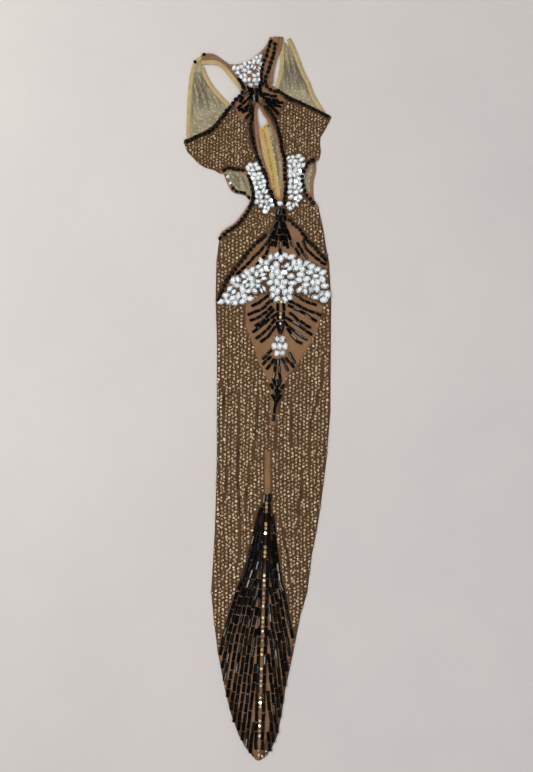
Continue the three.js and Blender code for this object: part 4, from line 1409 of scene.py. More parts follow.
@dataclass
class Beading:
    """Everything that is sewn on the front: crystals, cut stones, bugles and beads."""

    cloth: FrontCloth
    hip_bead_lines: Sequence[Places] = (
        ((267, 235), (254, 245.7), (244, 258), (233, 272), (225, 285), (217.5, 302)),
        ((288, 219), (294, 226), (299, 229), (304, 237), (310, 243.5), (316, 249.5), (321, 255.5),
         (326.5, 261.5)),
    )
    bead_lines: Sequence[Places] = (
        ((271, 40), (268.5, 49), (265.5, 58), (262.5, 67), (261, 76), (262, 87)),
        ((275, 42), (273.7, 54.4), (270.5, 63.4), (268.6, 71), (265.4, 80), (267.3, 87.6),
         (272.4, 91.4), (277.5, 92.7)),
        ((238.6, 78.5), (241.2, 83.5), (244.4, 90)),
        ((184.5, 141.5), (189, 141), (195.5, 138), (202, 135), (206, 133.6), (211, 131),
         (215.6, 127), (219.6, 121), (224, 116), (228, 110), (232, 105.5), (236, 100), (240, 96),
         (243, 91)),
        ((276, 90), (283.5, 95), (289, 99.5), (295.6, 101.4), (301, 104), (308, 107), (314, 110),
         (320.5, 113), (328.5, 117.5)),
        ((222.5, 172), (229, 168.6), (235, 170), (241, 170.4), (245, 171.5)),
        ((250.6, 104), (252.3, 113), (250.6, 125.6), (251, 132.5), (252.3, 139), (254, 146),
         (256, 151), (257.5, 157), (260.4, 163), (262, 167), (265, 174), (267, 180), (268, 187),
         (271, 193), (272.4, 198), (275, 202), (276, 208)),
        ((264.5, 106.6), (269, 111), (272.6, 116), (275, 121), (277, 127), (279, 134), (280.6, 140),
         (281.7, 151), (284.6, 159), (284.5, 166), (284.5, 180), (285.8, 186), (285, 193),
         (284.5, 199), (284.5, 206)),
        ((248, 174), (249.4, 179), (251.4, 185), (252.6, 191), (253.3, 196), (252.6, 202), (250, 207),
         (246, 214), (241, 221), (236, 226), (230, 230), (224.6, 234), (219, 240)),
        ((315, 160), (307.5, 164), (304, 171), (302, 179), (303, 186), (305, 193), (309, 198),
         (314.5, 205)),
    )
    beads: Stringing = Stringing(11.0, (11.2, 9.4, 5.0), wander=0.15)
    hip_beads: Stringing = Stringing(11.5, (11.0, 10.2, 5.0), wander=0.3)
    bugle_lines: Sequence[Places] = (
        ((268, 241), (262, 249), (254, 257), (246, 266), (236, 275)),
        ((269.9, 236.1), (267.3, 251.4), (262.2, 259), (255.9, 265.5)),
        ((302.4, 240), (305.3, 247.3), (311.7, 254.3), (319, 260.5), (326, 265.5)),
        ((296.7, 242.5), (301.8, 251.4), (306.9, 259.1)), ((295.4, 247.6), (299.2, 256.5)),
        ((278, 222), (272, 233), (268, 243)), ((279, 222), (274, 236), (271.8, 247)),
        ((280, 222), (277, 236), (275, 248)), ((280.5, 222), (280.1, 240), (280.1, 255.5)),
        ((281, 222), (283, 235), (284, 247)), ((282, 222), (285.5, 236), (287.8, 249)),
        ((282.5, 222), (288.5, 234), (293, 247.5)), ((278.6, 209), (276.4, 221)),
        ((280.9, 208), (280.7, 223)), ((283.4, 209), (285.4, 221)),
        ((294.4, 293.8), (307.2, 302.1), (316.7, 305.3)),
        ((289.3, 300.8), (304.6, 309.1), (321.8, 315.5)),
        ((287.4, 305.3), (302, 312.3), (316.7, 321.9)),
        ((288.7, 312.3), (298.2, 320), (311, 328.3)),
        ((285.5, 317.4), (299.5, 326.4), (312.3, 335.3)),
        ((282.9, 320.6), (293.8, 330.8), (307.2, 340.4)),
        ((286.8, 327.6), (295.7, 340.4), (302.7, 343.6)),
        ((268.6, 294.8), (258.4, 303.1), (250.8, 306.3)),
        ((271.2, 299.9), (262.2, 308.8), (246.9, 315.2)),
        ((272.4, 306.3), (262.2, 315.2), (249.5, 320.9)),
        ((274.4, 308.8), (264.8, 319), (254.6, 326.7)),
        ((276.3, 313.9), (263.5, 324.1), (252, 333)), ((275.6, 319), (266, 330.5), (255.2, 338.8)),
        ((275.6, 325.4), (268.6, 335.6), (259.7, 342.6)),
        ((277.5, 303), (277.5, 320)), ((283.6, 303), (283.6, 320)),
        ((277.2, 321.5), (278.6, 332)), ((283.8, 321.5), (282.4, 332)), ((276, 296), (270.5, 303)),
        ((287, 297), (291.5, 303)),
        ((271.8, 349.6), (262.2, 359.8)), ((271.2, 356), (262.2, 365)), ((274.4, 358.6), (266, 370)),
        ((288.4, 352.2), (295.4, 363.7)), ((285.2, 357.3), (294.1, 368.1)),
        ((282, 357.3), (287.8, 371.3)), ((276.3, 358.6), (273.7, 379)), ((278.2, 358.6), (280.1, 379)),
        ((277.2, 379), (276.8, 392), (275.4, 405), (272.8, 421.3)),
        ((276, 395), (270.4, 383)), ((277.4, 395), (284, 384)), ((276.4, 387), (272.6, 378.6)),
        ((277.6, 387), (281.6, 379)), ((275.6, 402), (271.4, 394)), ((276.4, 402), (281, 394.6)),
        ((249.5, 91.4), (244.4, 96.5), (239.3, 102.9)), ((250.8, 96.5), (244.4, 102.9), (237, 109)),
        ((252, 100.4), (245.7, 108), (238, 111.2)), ((252, 102.9), (248.2, 109.3), (241.8, 113.1)),
        ((252, 106.7), (249.5, 114.4), (245, 119.5)),
        ((255.9, 88.9), (263.5, 94), (272.4, 96.5), (277.6, 96.5)),
        ((258.4, 94), (267.3, 99.1), (278.8, 101)), ((262.2, 99.1), (271.2, 102.9), (283.9, 102.9)),
        ((264.8, 101.6), (272.4, 105.5), (281.4, 107.4)),
        ((267.3, 104.2), (273.7, 109.3), (278.8, 115)),
        ((248, 86), (252, 100)), ((252, 88), (254, 102)), ((256, 88), (257, 103)),
        ((259, 84), (262, 98)),
    )
    bugles: Stringing = Stringing(16.5, (0, 6.9, 3.2), gap=1.4, wander=0.07)
    stone_fields: Sequence[StoneField] = (
        StoneField((
            (260.7, 57.2), (254, 62), (258.4, 62), (234.2, 68.5), (238, 69.1), (241.8, 67.2),
            (244.4, 71), (248.2, 67.8), (252, 67.2), (238, 73.6), (245, 76.1), (249.5, 72.9),
            (254.6, 68.5), (259.7, 69.1), (241.2, 77.4), (254.6, 76.1), (259, 74.8), (248.9, 80.6),
            (254.6, 80.6), (250.8, 85.7), (256.5, 85), (258.4, 71),
        ), (
            (
                (234, 67.5), (252.5, 62.5), (259, 55), (262.5, 57.5), (260.5, 75), (258, 86),
                (251, 86), (242.5, 80), (236, 74),
            ),
        ), 9.4, (14.5, 10.5, 4.2)),
        StoneField((
            (250.8, 165.4), (255.9, 164.8), (248.2, 168.6), (252.7, 170.5), (258.4, 168.6),
            (249.5, 174.3), (254.6, 175), (259.7, 174.3), (252.7, 178.8), (258.4, 178.2),
            (262.9, 177.5), (254.6, 183.3), (259.7, 183.3), (255.9, 188.4), (261, 187.1),
            (264.8, 185.8), (258.4, 192.8), (263.5, 190.9), (266.7, 192.2), (256.5, 196.7),
            (261, 197.3), (267.3, 197.3), (257.1, 201.8), (262.2, 201.8), (266.7, 202.4),
            (271.2, 201.1), (265.4, 207.5), (268.6, 208.8), (272.4, 205.6), (288.4, 158.4),
            (292.9, 157.8), (298.6, 156.5), (290.3, 161.6), (295.4, 161.6), (301.8, 159.7),
            (289.7, 166.7), (294.1, 165.4), (299.2, 166), (290.3, 171.8), (295.4, 170.5),
            (299.9, 171.2), (289.7, 176.3), (294.1, 175.6), (298, 174.3), (291, 181.4),
            (295.4, 182), (299.2, 179.4), (300.5, 184.5), (290.3, 187.1), (294.8, 187.1),
            (298.6, 188.4), (290.3, 192.2), (301.2, 190.9), (291, 197.3), (295.4, 198.6),
            (299.9, 197.3), (298, 201.1), (288.4, 204.3), (293.5, 205.6), (296.7, 205), (280, 204),
        ), (
            (
                (246, 166), (257.5, 164), (262, 176), (266, 185), (270, 200), (274, 208),
                (272, 211), (265, 212), (256, 200), (250, 177),
            ),
            (
                (287.5, 157.5), (300, 154), (305, 165), (302.5, 175), (303, 195), (297, 209),
                (287.5, 209), (288.5, 185),
            ),
        ), 9.8, (15.5, 11.5, 4.2)),
        StoneField((
            (270.5, 257.7), (276.5, 255.8), (281, 259), (285.3, 255.8), (291.7, 257.3),
            (258.5, 266.8), (266.8, 263.1), (266.8, 268.9), (276.7, 264.8), (273, 268.5),
            (286.7, 265.6), (294.1, 263.1), (299.5, 262.7), (306.6, 263.5), (311.6, 266.8),
            (289.6, 268.9), (296.2, 268.5), (302.4, 268.9), (252.3, 270.2), (247.3, 273),
            (256.4, 274.3), (261.4, 270.6), (263, 275.1), (277.1, 272.2), (284.2, 272.7),
            (272.2, 275.6), (291.2, 276.4), (300.8, 274.7), (309.9, 272.2), (317.8, 269.8),
            (322.7, 272.7), (315.7, 276.4), (233.2, 280.5), (238.2, 279.3), (243.6, 276.4),
            (251, 278.9), (244.8, 282.2), (258.1, 281.4), (264.3, 278.9), (270.5, 282.6),
            (277.1, 282.6), (284.6, 282.2), (292.5, 283.4), (298.7, 280.1), (306.6, 278.9),
            (322.7, 279.3), (236.9, 285.5), (242.7, 289.2), (252.3, 285.1), (247.3, 285.5),
            (258.1, 285.9), (273, 289.2), (277.6, 291.7), (285, 291.7), (290.8, 290.1),
            (299.5, 289.7), (305.7, 285.1), (305.3, 291.3), (312.8, 282.6), (317.8, 282.2),
            (324.8, 286.3), (229.9, 289.2), (226.1, 295.5), (233.6, 292.1), (248.5, 291.3),
            (254.8, 290.9), (261.4, 290.5), (264.3, 288.8), (311.1, 289.7), (316.9, 288.8),
            (321.9, 294.2), (327.7, 294.6), (220.8, 301.7), (227.8, 301.7), (232.8, 298.4),
            (238.2, 296.3), (244.4, 296.3), (250.2, 298.8), (242.7, 301.7), (235.3, 302.9),
            (273, 295.5), (276.7, 299.2), (285, 299.6), (289.6, 297.5), (315.3, 297.5), (324, 300),
        ), (
            (
                (219, 303), (222, 297), (229, 287), (235, 277), (247, 270), (259, 263), (267, 256),
                (273, 254), (291, 254), (301, 260), (317, 265), (325, 271), (328, 285),
                (328.5, 297), (325, 303), (315, 301), (309, 293), (301, 291), (293, 293),
                (289, 301), (281, 303), (273, 300), (269, 293), (265, 290), (259, 293), (253, 299),
                (245, 304),
            ),
        ), 12.6, (19.5, 14.0, 4.6)),
    )
    line_steps: int = 40
    bead_jitter: float = 0.35
    bead_growth: tuple[float, float] = (0.82, 1.14)
    flower: tuple[float, float, float, float] = (279.8, 346.2, 5.5, 8.0)
    petal_size: Size = (16.6, 13.6, 4.8)
    petal_tilt: float = 0.05
    drops: Sequence[Drop] = (
        Drop((280.4, 323.8), (15.0, 11.0, 3.4), True), Drop((280.4, 323.8), (10.0, 6.0, 5.2), False),
        Drop((280.4, 332.2), (11.0, 10.5, 5.0), True),
    )
    tail_left: Places = ((220, 655), (222, 668), (224, 681), (227, 697), (231, 710), (234, 722),
                         (238, 730), (242, 740), (246, 747), (250, 753), (254, 758))
    tail_right: Places = ((293, 638), (289.6, 656), (287, 671), (285, 686), (282, 703), (279.6, 717),
                          (277, 733), (273.5, 742), (270, 751), (266, 756))
    tail_centre: Places = ((266.9, 494), (258.6, 759))
    tail_border_left: Places = ((264.2, 494), (261.6, 504), (258.6, 515), (254.6, 533),
                                (250.4, 551), (247, 565), (241, 582), (234, 602), (224, 636),
                                (220, 655))
    tail_border_right: Places = ((270.2, 494), (272, 511), (274, 533), (276, 551), (278.5, 567),
                                 (280.5, 582), (285, 599), (289, 623), (293, 638))
    ray_pitch: float = 2.9
    ray_spread: float = 0.0107
    ray_room: float = 2.2
    ray_slopes: tuple[float, float] = (-0.21, 0.17)
    middle_ray: float = 3.4
    middle_share: float = 0.68
    middle_widens: float = 90.0
    middle_end: float = 8.0
    tail_bugles: Stringing = Stringing(22.0, (0, 7.8, 3.2), gap=1.5, wander=0.03, tilt=0.08)
    tail_stones: Sequence[float] = (
        503, 507, 511, 524, 528, 533, 547, 552, 556, 575, 580, 585, 593, 598, 602, 606, 617, 621.5,
        626, 630.5, 640, 649, 654, 668, 674.5, 680, 685, 697, 702, 706, 720, 725, 730, 735, 749.5,
        754)
    tail_stone_size: Size = (11.4, 9.4, 3.8)
    hip_gold: Places = ((281, 302), (280.7, 313.6), (280.4, 317.4))
    stone_points: Sequence[float] = (0.0, 0.45, 0.85)
    slim_from: float = 1.45
    stone_tones: tuple[float, float] = (0.3, 1.0)
    stone_room: float = 0.61
    least_width: float = 0.58
    small_reach: tuple[float, float] = (176.0, 840.0)
    small_pitch: tuple[float, float] = (8.6, 8.6)
    bust_pitch: tuple[float, float] = (7.0, 7.2)
    bust_size: float = 0.9
    bust_tone: float = 0.55
    small_size: float = 8.9
    small_width: float = 0.84
    small_height: float = 1.5
    small_jitter: float = 0.7
    lit_share: float = 0.06
    bust_from: float = 385.0
    stone_clearance: float = 11.5
    bead_clearance: float = 7.6
    edge_clearance: float = 1.4
    keyhole_clearance: float = 3.0
    crease_reach: float = 9.5
    crease_push: float = 3.4
    taken: list[np.ndarray] = field(default_factory=list)
    stones: list[np.ndarray] = field(default_factory=list)

    def stand(self, swarm: Swarm, template: Template, spots: np.ndarray, angles: np.ndarray,
              sizes: Sequence[float] | np.ndarray, tilt: float, lift_by: float = CLOTH,
              tones: np.ndarray | None = None) -> None:
        """Stands copies of a shape on the cloth.

        Args:
            swarm: What they are added to.
            template: The shape.
            spots: Their places in plan.
            angles: Their directions.
            sizes: One size, or the size of each.
            tilt: How far they lean at random, in radians.
            lift_by: How high their feet stand above the cloth's underside.
            tones: The shade of each.
        """
        heights = self.cloth.form.floor(spots) + lift_by
        sizes = np.broadcast_to(np.asarray(sizes, float), (len(spots), 3))
        swarm.add(template, np.column_stack([spots, heights]), angles,
                  self.cloth.form.normals(spots), sizes, tilt, tones)

    def string(self, swarm: Swarm, template: Template, lines: Sequence[Places],
               way: Stringing) -> None:
        """Strings beads along lines.

        Args:
            swarm: What they are added to.
            template: The bead.
            lines: The lines, on the layout grid.
            way: How they are strung. With a gap they fill the line, and without one they keep
                their own length.
        """
        for knots in lines:
            line = Line.smooth(layout(knots), self.line_steps)
            reach = line.lengths()[-1]
            count = max(1, round(reach / way.pitch))
            step = reach / count
            spots, angles = line.at(step * (np.arange(count) + 0.5))
            spots = spots + DRAW.normal(0, self.bead_jitter, spots.shape)
            sizes = np.tile((step - way.gap if way.gap else way.size[0], *way.size[1:]), (count, 1))
            if not way.gap:
                sizes[:, :2] *= DRAW.uniform(*self.bead_growth, (count, 2))
            self.stand(swarm, template, spots, angles + DRAW.normal(0, way.wander, count), sizes,
                       way.tilt)
            self.taken.append(line.points)

    def tail_rays(self) -> list[np.ndarray]:
        """Returns the rays of the tail, on the layout grid, each from its tip upwards.

        They run beside each other, and each starts where there is room for it between the one
        before and the line of stones in the middle.
        """
        (_, y0), (_, y1) = self.tail_centre
        rays = []
        for turn, border, tips, slope in (
                (1, self.tail_border_left, self.tail_left, self.ray_slopes[0]),
                (-1, self.tail_border_right, self.tail_right, self.ray_slopes[1])):
            edge = np.array(border, float)
            for k, (x, y) in enumerate(tips):
                rows = np.arange(y0 + 1, y + 0.5, 1.0)
                outer = np.interp(rows, edge[:, 1], edge[:, 0])
                outer += slope * np.maximum(rows - edge[-1, 1], 0)
                apart = self.ray_pitch + self.ray_spread * (rows - y0)
                places = outer + turn * k * apart
                room = turn * (self.tail_middle(rows) - places) > self.middle_ray + self.ray_room
                places += (x - places[-1]) * ((rows - y0) / (y - y0)) ** 3
                run = np.column_stack([places, rows])[room][::-4]
                if len(run) > 3:
                    rays.append(run)
            rows = np.arange(y0 - 0.5, y1 - self.middle_end, 4.0)[::-1]
            widening = np.interp(rows, (y0, y0 + self.middle_widens), (self.middle_share, 1.0))
            beside = self.tail_middle(rows) - turn * self.middle_ray * widening
            rays.append(np.column_stack([beside, rows]))
        return rays

    def tail_middle(self, rows: np.ndarray) -> np.ndarray:
        """Returns the column of the tail's middle line at rows of the layout grid."""
        (x0, y0), (x1, y1) = self.tail_centre
        return x0 + (x1 - x0) * (rows - y0) / (y1 - y0)

    def packed(self, spots: np.ndarray, size: tuple[float, float]) -> tuple[np.ndarray, np.ndarray]:
        """Fits the largest oval that each stone has room for between its neighbours.

        Args:
            spots: Their places in plan.
            size: The length and width of a full stone.

        Returns:
            The direction of each stone's length, and the length and width of each.
        """
        away = spots[None] - spots[:, None]
        far = np.linalg.norm(away, axis=2)
        ways = np.arctan2(away[..., 1], away[..., 0])
        near = [np.flatnonzero((row > 0) & (row < 2 * size[0])) for row in far]
        angles, plan = np.zeros(len(spots)), np.zeros((len(spots), 2))
        turns = np.arange(0, math.pi, math.pi / 18)
        widths = np.linspace(self.least_width, 1.0, 8) * size[1] / 2
        for i, others in enumerate(near):
            room = self.stone_room * far[i, others]
            lean = ways[i, others][None, :] - turns[:, None]
            along, aside = np.abs(np.cos(lean)) + 1e-6, np.abs(np.sin(lean))
            best = 0.0
            for half in widths:
                spare = room ** 2 - (half * aside) ** 2
                reach = np.sqrt(np.maximum(spare, 0)) / along
                length = np.minimum(reach.min(axis=1, initial=size[0] / 2), size[0] / 2)
                k = int(length.argmax())
                if length[k] * half > best and length[k] >= half:
                    best, angles[i], plan[i] = length[k] * half, turns[k], (2 * length[k], 2 * half)
            if best == 0.0:
                plan[i] = 2 * min(room.min(initial=size[1] / 2), size[1] / 2)
        return angles, plan

    @staticmethod
    def filled(spots: np.ndarray, region: np.ndarray, spacing: float) -> np.ndarray:
        """Adds places to a region until nothing more fits between those that are there.

        Args:
            spots: The places that are there.
            region: The outline of the region.
            spacing: The least distance between two places.

        Returns:
            The places and the new ones.
        """
        low, high = region.min(axis=0), region.max(axis=0)
        tries = DRAW.uniform(low, high, (6000, 2))
        for place in tries[inside(tries, region)]:
            if np.min(np.linalg.norm(spots - place, axis=1)) > spacing:
                spots = np.vstack([spots, place])
        return spots

    def cut_stones(self, swarm: Swarm, spots: np.ndarray, size: Size) -> None:
        """Sets cut stones close beside each other."""
        angles, plan = self.packed(spots, size[:2])
        slim = plan[:, 0] / plan[:, 1] > self.slim_from
        kinds = np.where(slim, DRAW.choice(self.stone_points[1:], len(spots)), 0.0)
        for point in self.stone_points:
            chosen = kinds == point
            tones = DRAW.uniform(*self.stone_tones, chosen.sum())
            self.stand(swarm, Template.cut_stone(10, point), spots[chosen], angles[chosen],
                       standing(plan[chosen], size[2]), 0.06, tones=tones)
        self.stones.append(spots)

    def flower_stones(self, swarm: Swarm) -> None:
        """Sets six petals round a middle stone."""
        x, y, wide, tall = self.flower
        turns = np.arange(6) * math.pi / 3
        petals = np.column_stack([x + wide * np.cos(turns), y + tall * np.sin(turns)])
        leans = np.arctan2(-tall * np.sin(turns), wide * np.cos(turns))
        leans[np.abs(np.sin(turns)) < 0.5] = math.pi / 2
        spots = layout([*petals, (x, y)])
        self.stand(swarm, Template.cut_stone(10, 0.0), spots, np.append(leans, math.pi / 2),
                   self.petal_size, self.petal_tilt, tones=DRAW.uniform(0.4, 1.0, len(spots)))
        self.stones.append(spots)

    def tail_line(self, swarm: Swarm) -> None:
        """Sets the gold stones down the tail's middle, and the three above the drop."""
        rows = np.array(self.tail_stones)
        line = np.column_stack([self.tail_middle(rows), rows])
        spots = layout(np.concatenate([line, self.hip_gold]))
        self.stand(swarm, Template.cut_stone(8, 0.0), spots, np.full(len(spots), math.pi / 2),
                   self.tail_stone_size, 0.08)
        self.taken.append(spots)

    def small_spots(self) -> np.ndarray:
        """Finds the places of the small crystals: staggered columns, clear of the rest."""
        outline, keyhole = self.cloth.loops()
        side, end = self.small_reach
        spots = np.concatenate([
            staggered((-side, -end), (side, self.bust_from), self.small_pitch),
            staggered((-side, self.bust_from), (side, end), self.bust_pitch)])
        spots += np.column_stack([2.2 * np.sin(spots[:, 1] / 95), 1.6 * np.sin(spots[:, 0] / 40)])
        spots += DRAW.normal(0, self.small_jitter, spots.shape)
        # Crystals are pushed aside from the shaded creases, so that the cloth's painted shade shows
        # there.
        for knots in self.cloth.shaded_creases:
            crease = Line.smooth(layout(knots), 24)
            far, _ = crease.nearest(spots)
            beside = spots[:, 0] - np.interp(spots[:, 1], *crease.points[::-1, ::-1].T)
            pushed = self.crease_push * np.clip(1 - far / self.crease_reach, 0, 1)
            spots[:, 0] += np.sign(beside) * pushed
        spots = spots[inside(spots, outline) & ~inside(spots, keyhole)]
        edge, _ = loop_line(outline).nearest(spots)
        hole, _ = loop_line(keyhole).nearest(spots)
        spots = spots[(edge > self.edge_clearance) & (hole > self.keyhole_clearance)]
        spots = spots[~self.cloth.is_bare(spots) & ~inside(spots, layout(self.cloth.tail))]
        spots = spots[self.clear_of(spots, self.stones, self.stone_clearance)]
        return spots[self.clear_of(spots, self.taken, self.bead_clearance)]

    def small_crystals(self, swarm: Swarm) -> None:
        """Sets the small crystals over the rest of the cloth."""
        spots = self.small_spots()
        angles = DRAW.normal(math.pi / 2, 0.45, len(spots))
        bust = spots[:, 1] > self.bust_from
        size = self.small_size * DRAW.uniform(0.84, 1.06, (len(spots), 1)) * (1, self.small_width, 0)
        size[bust] *= self.bust_size
        tones = DRAW.beta(2.2, 2.2, len(spots))
        # Painted shade darkens the crystals in the creases, and a share of them is painted as a glint.
        tones *= 1 - 0.8 * self.cloth.shade(spots)
        tones[bust] *= self.bust_tone
        tones[DRAW.random(len(spots)) < self.lit_share] = 1.0
        self.stand(swarm, Template.crystal(), spots, angles, size + (0, 0, self.small_height), 0.07,
                   CLOTH - 0.1, tones)

    @staticmethod
    def clear_of(spots: np.ndarray, taken: list[np.ndarray], distance: float) -> list[bool]:
        """Tells which places are further than a distance from all that is there already."""
        others = np.concatenate(taken)
        tree = KDTree(len(others))
        for k, (x, y) in enumerate(others):
            tree.insert((x, y, 0), k)
        tree.balance()
        return [tree.find((x, y, 0))[2] > distance for x, y in spots]

    def build(self) -> list[bpy.types.Object]:
        """Makes all that is sewn on the front."""
        tubes, beads = Swarm("bugle_beads"), Swarm("round_beads", smooth=True)
        white, gold, tail_gold = Swarm("cut_stones"), Swarm("small_crystals"), Swarm("tail_stones")
        tube, bead = Template.bugle(), Template.bead()
        self.string(beads, bead, self.bead_lines, self.beads)
        self.string(beads, bead, self.hip_bead_lines, self.hip_beads)
        self.string(tubes, tube, self.bugle_lines, self.bugles)
        self.string(tubes, tube, self.tail_rays(), self.tail_bugles)
        for stones in self.stone_fields:
            spots = layout(stones.places)
            for region in stones.regions:
                spots = self.filled(spots, layout(region), stones.spacing)
            self.cut_stones(white, spots, stones.size)
        self.flower_stones(white)
        for drop in self.drops:
            swarm, shape = (beads, bead) if drop.black else (white, Template.cut_stone(10, 0.45))
            self.stand(swarm, shape, layout([drop.place]), np.array([math.pi / 2]), drop.size, 0.0)
        self.tail_line(tail_gold)
        self.small_crystals(gold)
        return [hand_over(swarm.build(finish.material()), Slot.BEADED, "front")
                for swarm, finish in ((tubes, JET), (beads, JET), (white, CLEAR),
                                      (tail_gold, AMBER), (gold, GOLD))]


@dataclass
class BackBeading:
    """The small crystals on the outside of the back, which faces down."""

    cloth: BackCloth
    pitch: tuple[float, float] = (8.9, 9.9)
    size: Size = (4.7, 4.7, 1.4)
    jitter: float = 0.5
    edge_clearance: float = 3.0
    lean: float = 0.05
    turned_stones: Places = ((228, 177), (230.5, 183.5))
    turned_beads: Places = ((204, 55), (195.2, 62.4), (233, 188.6), (236.5, 191.4), (241, 192.6),
                            (244.5, 193.4), (248.6, 197.6))
    glints: Places = ((271.5, 141), (273, 148), (274.6, 155), (275.8, 162), (276.8, 170),
                      (277.2, 178))

    def shown(self, name: str, template: Template, places: Places, angles: np.ndarray, size: Size,
              height: float, finish: Finish, smooth: bool = False) -> bpy.types.Object:
        """Makes the few stones or beads that show beside the front.

        Args:
            name: The name of the piece.
            template: The shape.
            places: Where each one is, on the layout grid.
            angles: The direction of each.
            size: Length, width and height.
            height: How high their feet stand.
            finish: Their finish.
            smooth: Whether they are shaded smoothly.

        Returns:
            The piece.
        """
        swarm = Swarm(name, smooth=smooth)
        swarm.add(template, standing(layout(places), height), angles,
                  np.tile(UP, (len(places), 1)), np.tile(size, (len(places), 1)), self.lean)
        return self.sewn(swarm, finish)

    def sewn(self, swarm: Swarm, finish: Finish) -> bpy.types.Object:
        """Joins a swarm that is sewn on this half of the back."""
        return hand_over(swarm.build(finish.material()), Slot.BEADED, f"back_{self.cloth.side}")

    def build(self) -> list[bpy.types.Object]:
        """Makes the crystals, and the few that show where the side turns up."""
        outline = self.cloth.cut.back_outline(self.cloth.left)
        spots = staggered(outline.min(axis=0), outline.max(axis=0), self.pitch)
        spots += DRAW.normal(0, self.jitter, spots.shape)
        edge, _ = loop_line(outline).nearest(spots)
        spots = spots[inside(spots, outline) & (edge > self.edge_clearance)]
        n = len(spots)
        swarm = Swarm(f"back_crystals_{self.cloth.side}")
        swarm.add(Template.crystal(), standing(spots, WALL - CLOTH), DRAW.uniform(0, math.pi, n),
                  np.tile((0.0, 0.0, -1.0), (n, 1)), np.tile(self.size, (n, 1)))
        pieces = [self.sewn(swarm, GOLD)]
        if self.cloth.left:
            pieces.append(self.shown(
                "turned_edge_stones", Template.cut_stone(10, 0.0), self.turned_stones,
                np.array((1.2, 0.9)), (11.0, 9.0, 4.2), WALL, CLEAR))
            angles = DRAW.uniform(0, math.pi, len(self.turned_beads))
            pieces.append(self.shown("turned_edge_beads", Template.bead(), self.turned_beads, angles,
                                     (9.0, 7.4, 5.0), WALL, JET, smooth=True))
        else:
            angles = np.full(len(self.glints), 1.4)
            pieces.append(self.shown("inner_glints", Template.cut_stone(8, 0.0), self.glints, angles,
                                     (6.5, 3.4, 1.8), WALL - 0.2, CLEAR))
        return pieces


# ---- The gown --------------------------------------------------------------------------------


@dataclass
class Gown:
    """The whole gown, laid flat on its back with the front on top."""

    cut: GownCut = field(default_factory=GownCut)
    left_folds: BackFolds = BackFolds((
        Crease((-135, 740), (-114, 655), 6, 1.4), Crease((-141, 726), (-137, 662), 6, 1.3),
        Crease((-104, 704), (-84, 664), 5, 0.6), Crease((-124, 752), (-122, 700), 5, 0.5),
        Crease((-152, 700), (-155, 628), 5, 0.7), Crease((-62, 505), (-44, 476), 5, 0.9),
        Crease((-70, 380), (-48, 398), 5, 0.7),
    ), (
        # Streaks of painted shade, on the layout grid.
        ((194, 71), (203, 90), (212, 104)), ((196, 71), (210, 88), (224, 102)),
        ((194, 74), (198, 90), (204, 104)), ((198, 72), (213, 86), (229, 100)),
        ((192, 76), (194, 92), (197, 112)), ((233, 174), (238, 180), (240, 190)),
        ((240, 173), (244, 182), (249, 192)),
    ))
    right_folds: BackFolds = BackFolds((
        Crease((67, 800), (73, 716), 6, 1.4), Crease((76, 796), (91, 712), 6, 1.3),
        Crease((84, 772), (104, 706), 6, 1.2), Crease((58, 752), (62, 704), 5, 0.6),
        Crease((112, 734), (124, 690), 5, 0.7), Crease((42, 610), (50, 560), 6, 0.9),
    ), (
        # Streaks of painted shade, on the layout grid.
        ((283, 52), (285, 70), (284, 86)), ((287, 46), (291, 66), (295, 86)),
        ((291, 50), (297, 70), (303, 90)), ((285, 58), (289, 80), (290, 94)),
        ((280, 56), (281, 74), (280, 90)), ((297, 62), (304, 80), (309, 96)),
        ((272, 140), (277, 160), (279, 184)),
    ))

    def bindings(self, form: FrontForm) -> list[bpy.types.Object]:
        """Makes the elastic on every edge."""
        flat, bed, cut = level(0.0), level(FRONT_BED), self.cut
        plans = (
            Binding("keyhole_binding", cut.keyhole, 1, BINDING_WIDTH, form.floor),
            Binding("neckline_binding", cut.neckline, -1, BINDING_WIDTH, form.floor),
            Binding("strap_binding_left", cut.strap_left, 1, ELASTIC_WIDTH, form.floor),
            Binding("strap_binding_right", cut.strap_right, -1, BINDING_WIDTH, form.floor),
            Binding("waist_binding_left", cut.waist_left, 1, BINDING_WIDTH, bed),
            Binding("waist_binding_right", cut.waist_right, -1, BINDING_WIDTH, bed),
            Binding("back_arm_binding_left", cut.back_arm_left, 1, ELASTIC_WIDTH, flat),
            Binding("back_arm_binding_right", cut.back_arm_right, -1, ELASTIC_WIDTH, flat),
            Binding("back_neck_binding_left", cut.back_neck_left, -1, ELASTIC_WIDTH, flat),
            Binding("back_neck_binding_right", cut.back_neck_right, 1, ELASTIC_WIDTH, flat),
            Binding("back_waist_binding_left", cut.back_waist_left, 1, BINDING_WIDTH, flat),
            Binding("back_waist_binding_right", cut.back_waist_right, -1, BINDING_WIDTH, flat),
        )
        return [plan.build() for plan in plans]

    def build(self) -> None:
        form = FrontForm(self.cut)
        front = FrontCloth(form)
        front_cloth = front.build()
        backs = [BackCloth(self.cut, True, self.left_folds),
                 BackCloth(self.cut, False, self.right_folds)]
        back_cloths = [back.build() for back in backs]
        bindings = self.bindings(form)
        zip_pieces = Zip(self.cut).build()
        beading = Beading(front).build()
        back_beading = [BackBeading(back).build() for back in backs]
        front.area()
        for back, cloth, crystals in zip(backs, back_cloths, back_beading):
            own = [piece for piece in bindings
                   if piece.name.startswith("back") and f"_{back.side}_" in piece.name]
            zipped = [piece for piece in zip_pieces if piece.name.endswith(back.side)]
            back.area()
            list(crystals)


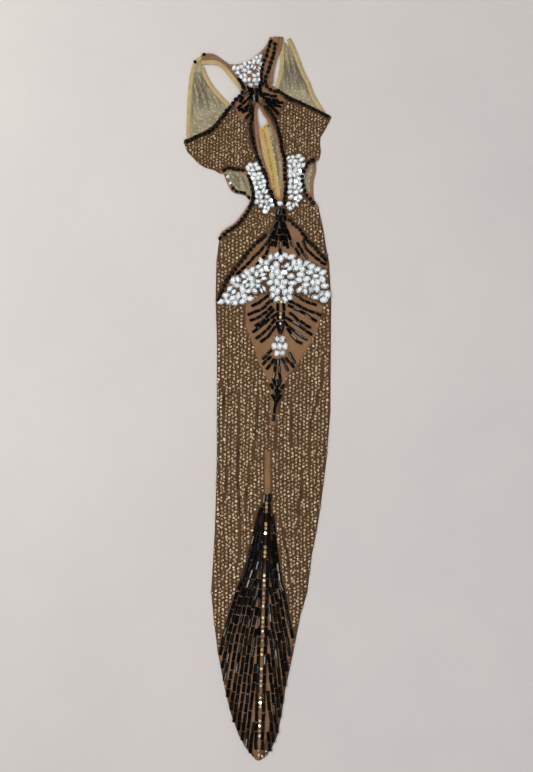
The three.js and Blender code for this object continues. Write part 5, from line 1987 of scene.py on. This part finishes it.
@dataclass(frozen=True)
class Lamp:
    """A square light that shines on the middle of the gown."""

    name: str
    place: Size
    power: float
    size: float
    colour: Colour = (1, 1, 1)
    glints_only: bool = False

    def build(self) -> None:
        """Hangs the light."""
        data = bpy.data.lights.new(self.name, "AREA")
        data.energy, data.size, data.color = self.power, self.size, self.colour
        lamp = bpy.data.objects.new(self.name, data)
        bpy.context.scene.collection.objects.link(lamp)
        lamp.location = self.place
        lamp.rotation_euler = Vector(self.place).to_track_quat("Z", "Y").to_euler()
        lamp.visible_diffuse = not self.glints_only


@dataclass
class Studio:
    """The surface, the lights and the camera."""

    middle: tuple[float, float] = (0.0207, 0.02875)
    distance: float = 2.466
    lens: float = 50.0
    surface_half: float = 6000.0
    surface_depth: float = 0.3
    sky: tuple[float, float, float, float] = (0.92, 0.95, 1.0, 1)
    sky_strength: float = 0.48
    lamps: Sequence[Lamp] = (
        Lamp("window", (-1.95, 0.85, 2.45), 56, 1.4, (1.0, 0.985, 0.96)),
        Lamp("fill", (1.6, -1.2, 2.6), 14.5, 1.8, (0.95, 0.97, 1.0)),
        Lamp("spark_left", (-0.9, -0.2, 2.4), 18, 0.3, glints_only=True),
        Lamp("spark_right", (0.7, 0.9, 2.4), 18, 0.3, glints_only=True),
        Lamp("spark_low", (-0.45, -1.2, 2.4), 26, 0.36, glints_only=True),
    )

    def build(self) -> None:
        """Sets the studio up."""
        bm = bmesh.new()
        bmesh.ops.create_grid(bm, x_segments=8, y_segments=8, size=self.surface_half)
        bmesh.ops.translate(bm, vec=(0, 0, -self.surface_depth), verts=bm.verts)
        surface = add_object("surface", mesh_from(bm, "surface"), PALE.material())
        world = bpy.data.worlds.new("studio")
        world.use_nodes = True
        background = world.node_tree.nodes["Background"]
        background.inputs["Color"].default_value = self.sky
        background.inputs["Strength"].default_value = self.sky_strength
        bpy.context.scene.world = world
        for lamp in self.lamps:
            lamp.build()
        data = bpy.data.cameras.new("camera")
        data.lens, data.sensor_width, data.clip_end = self.lens, 36.0, 50.0
        camera = bpy.data.objects.new("camera", data)
        bpy.context.scene.collection.objects.link(camera)
        camera.location = (*self.middle, self.distance)
        bpy.context.scene.camera = camera
        bpy.context.scene.view_settings.view_transform = "Standard"
        LOG.info("studio: %d lights", len(self.lamps))


def main() -> None:
    """Builds the studio and the gown."""
    logging.basicConfig(level=logging.INFO, format="%(name)s %(message)s")
    Studio().build()
    Gown().build()
    bpy.context.view_layer.update()


if __name__ == "__main__":
    main()
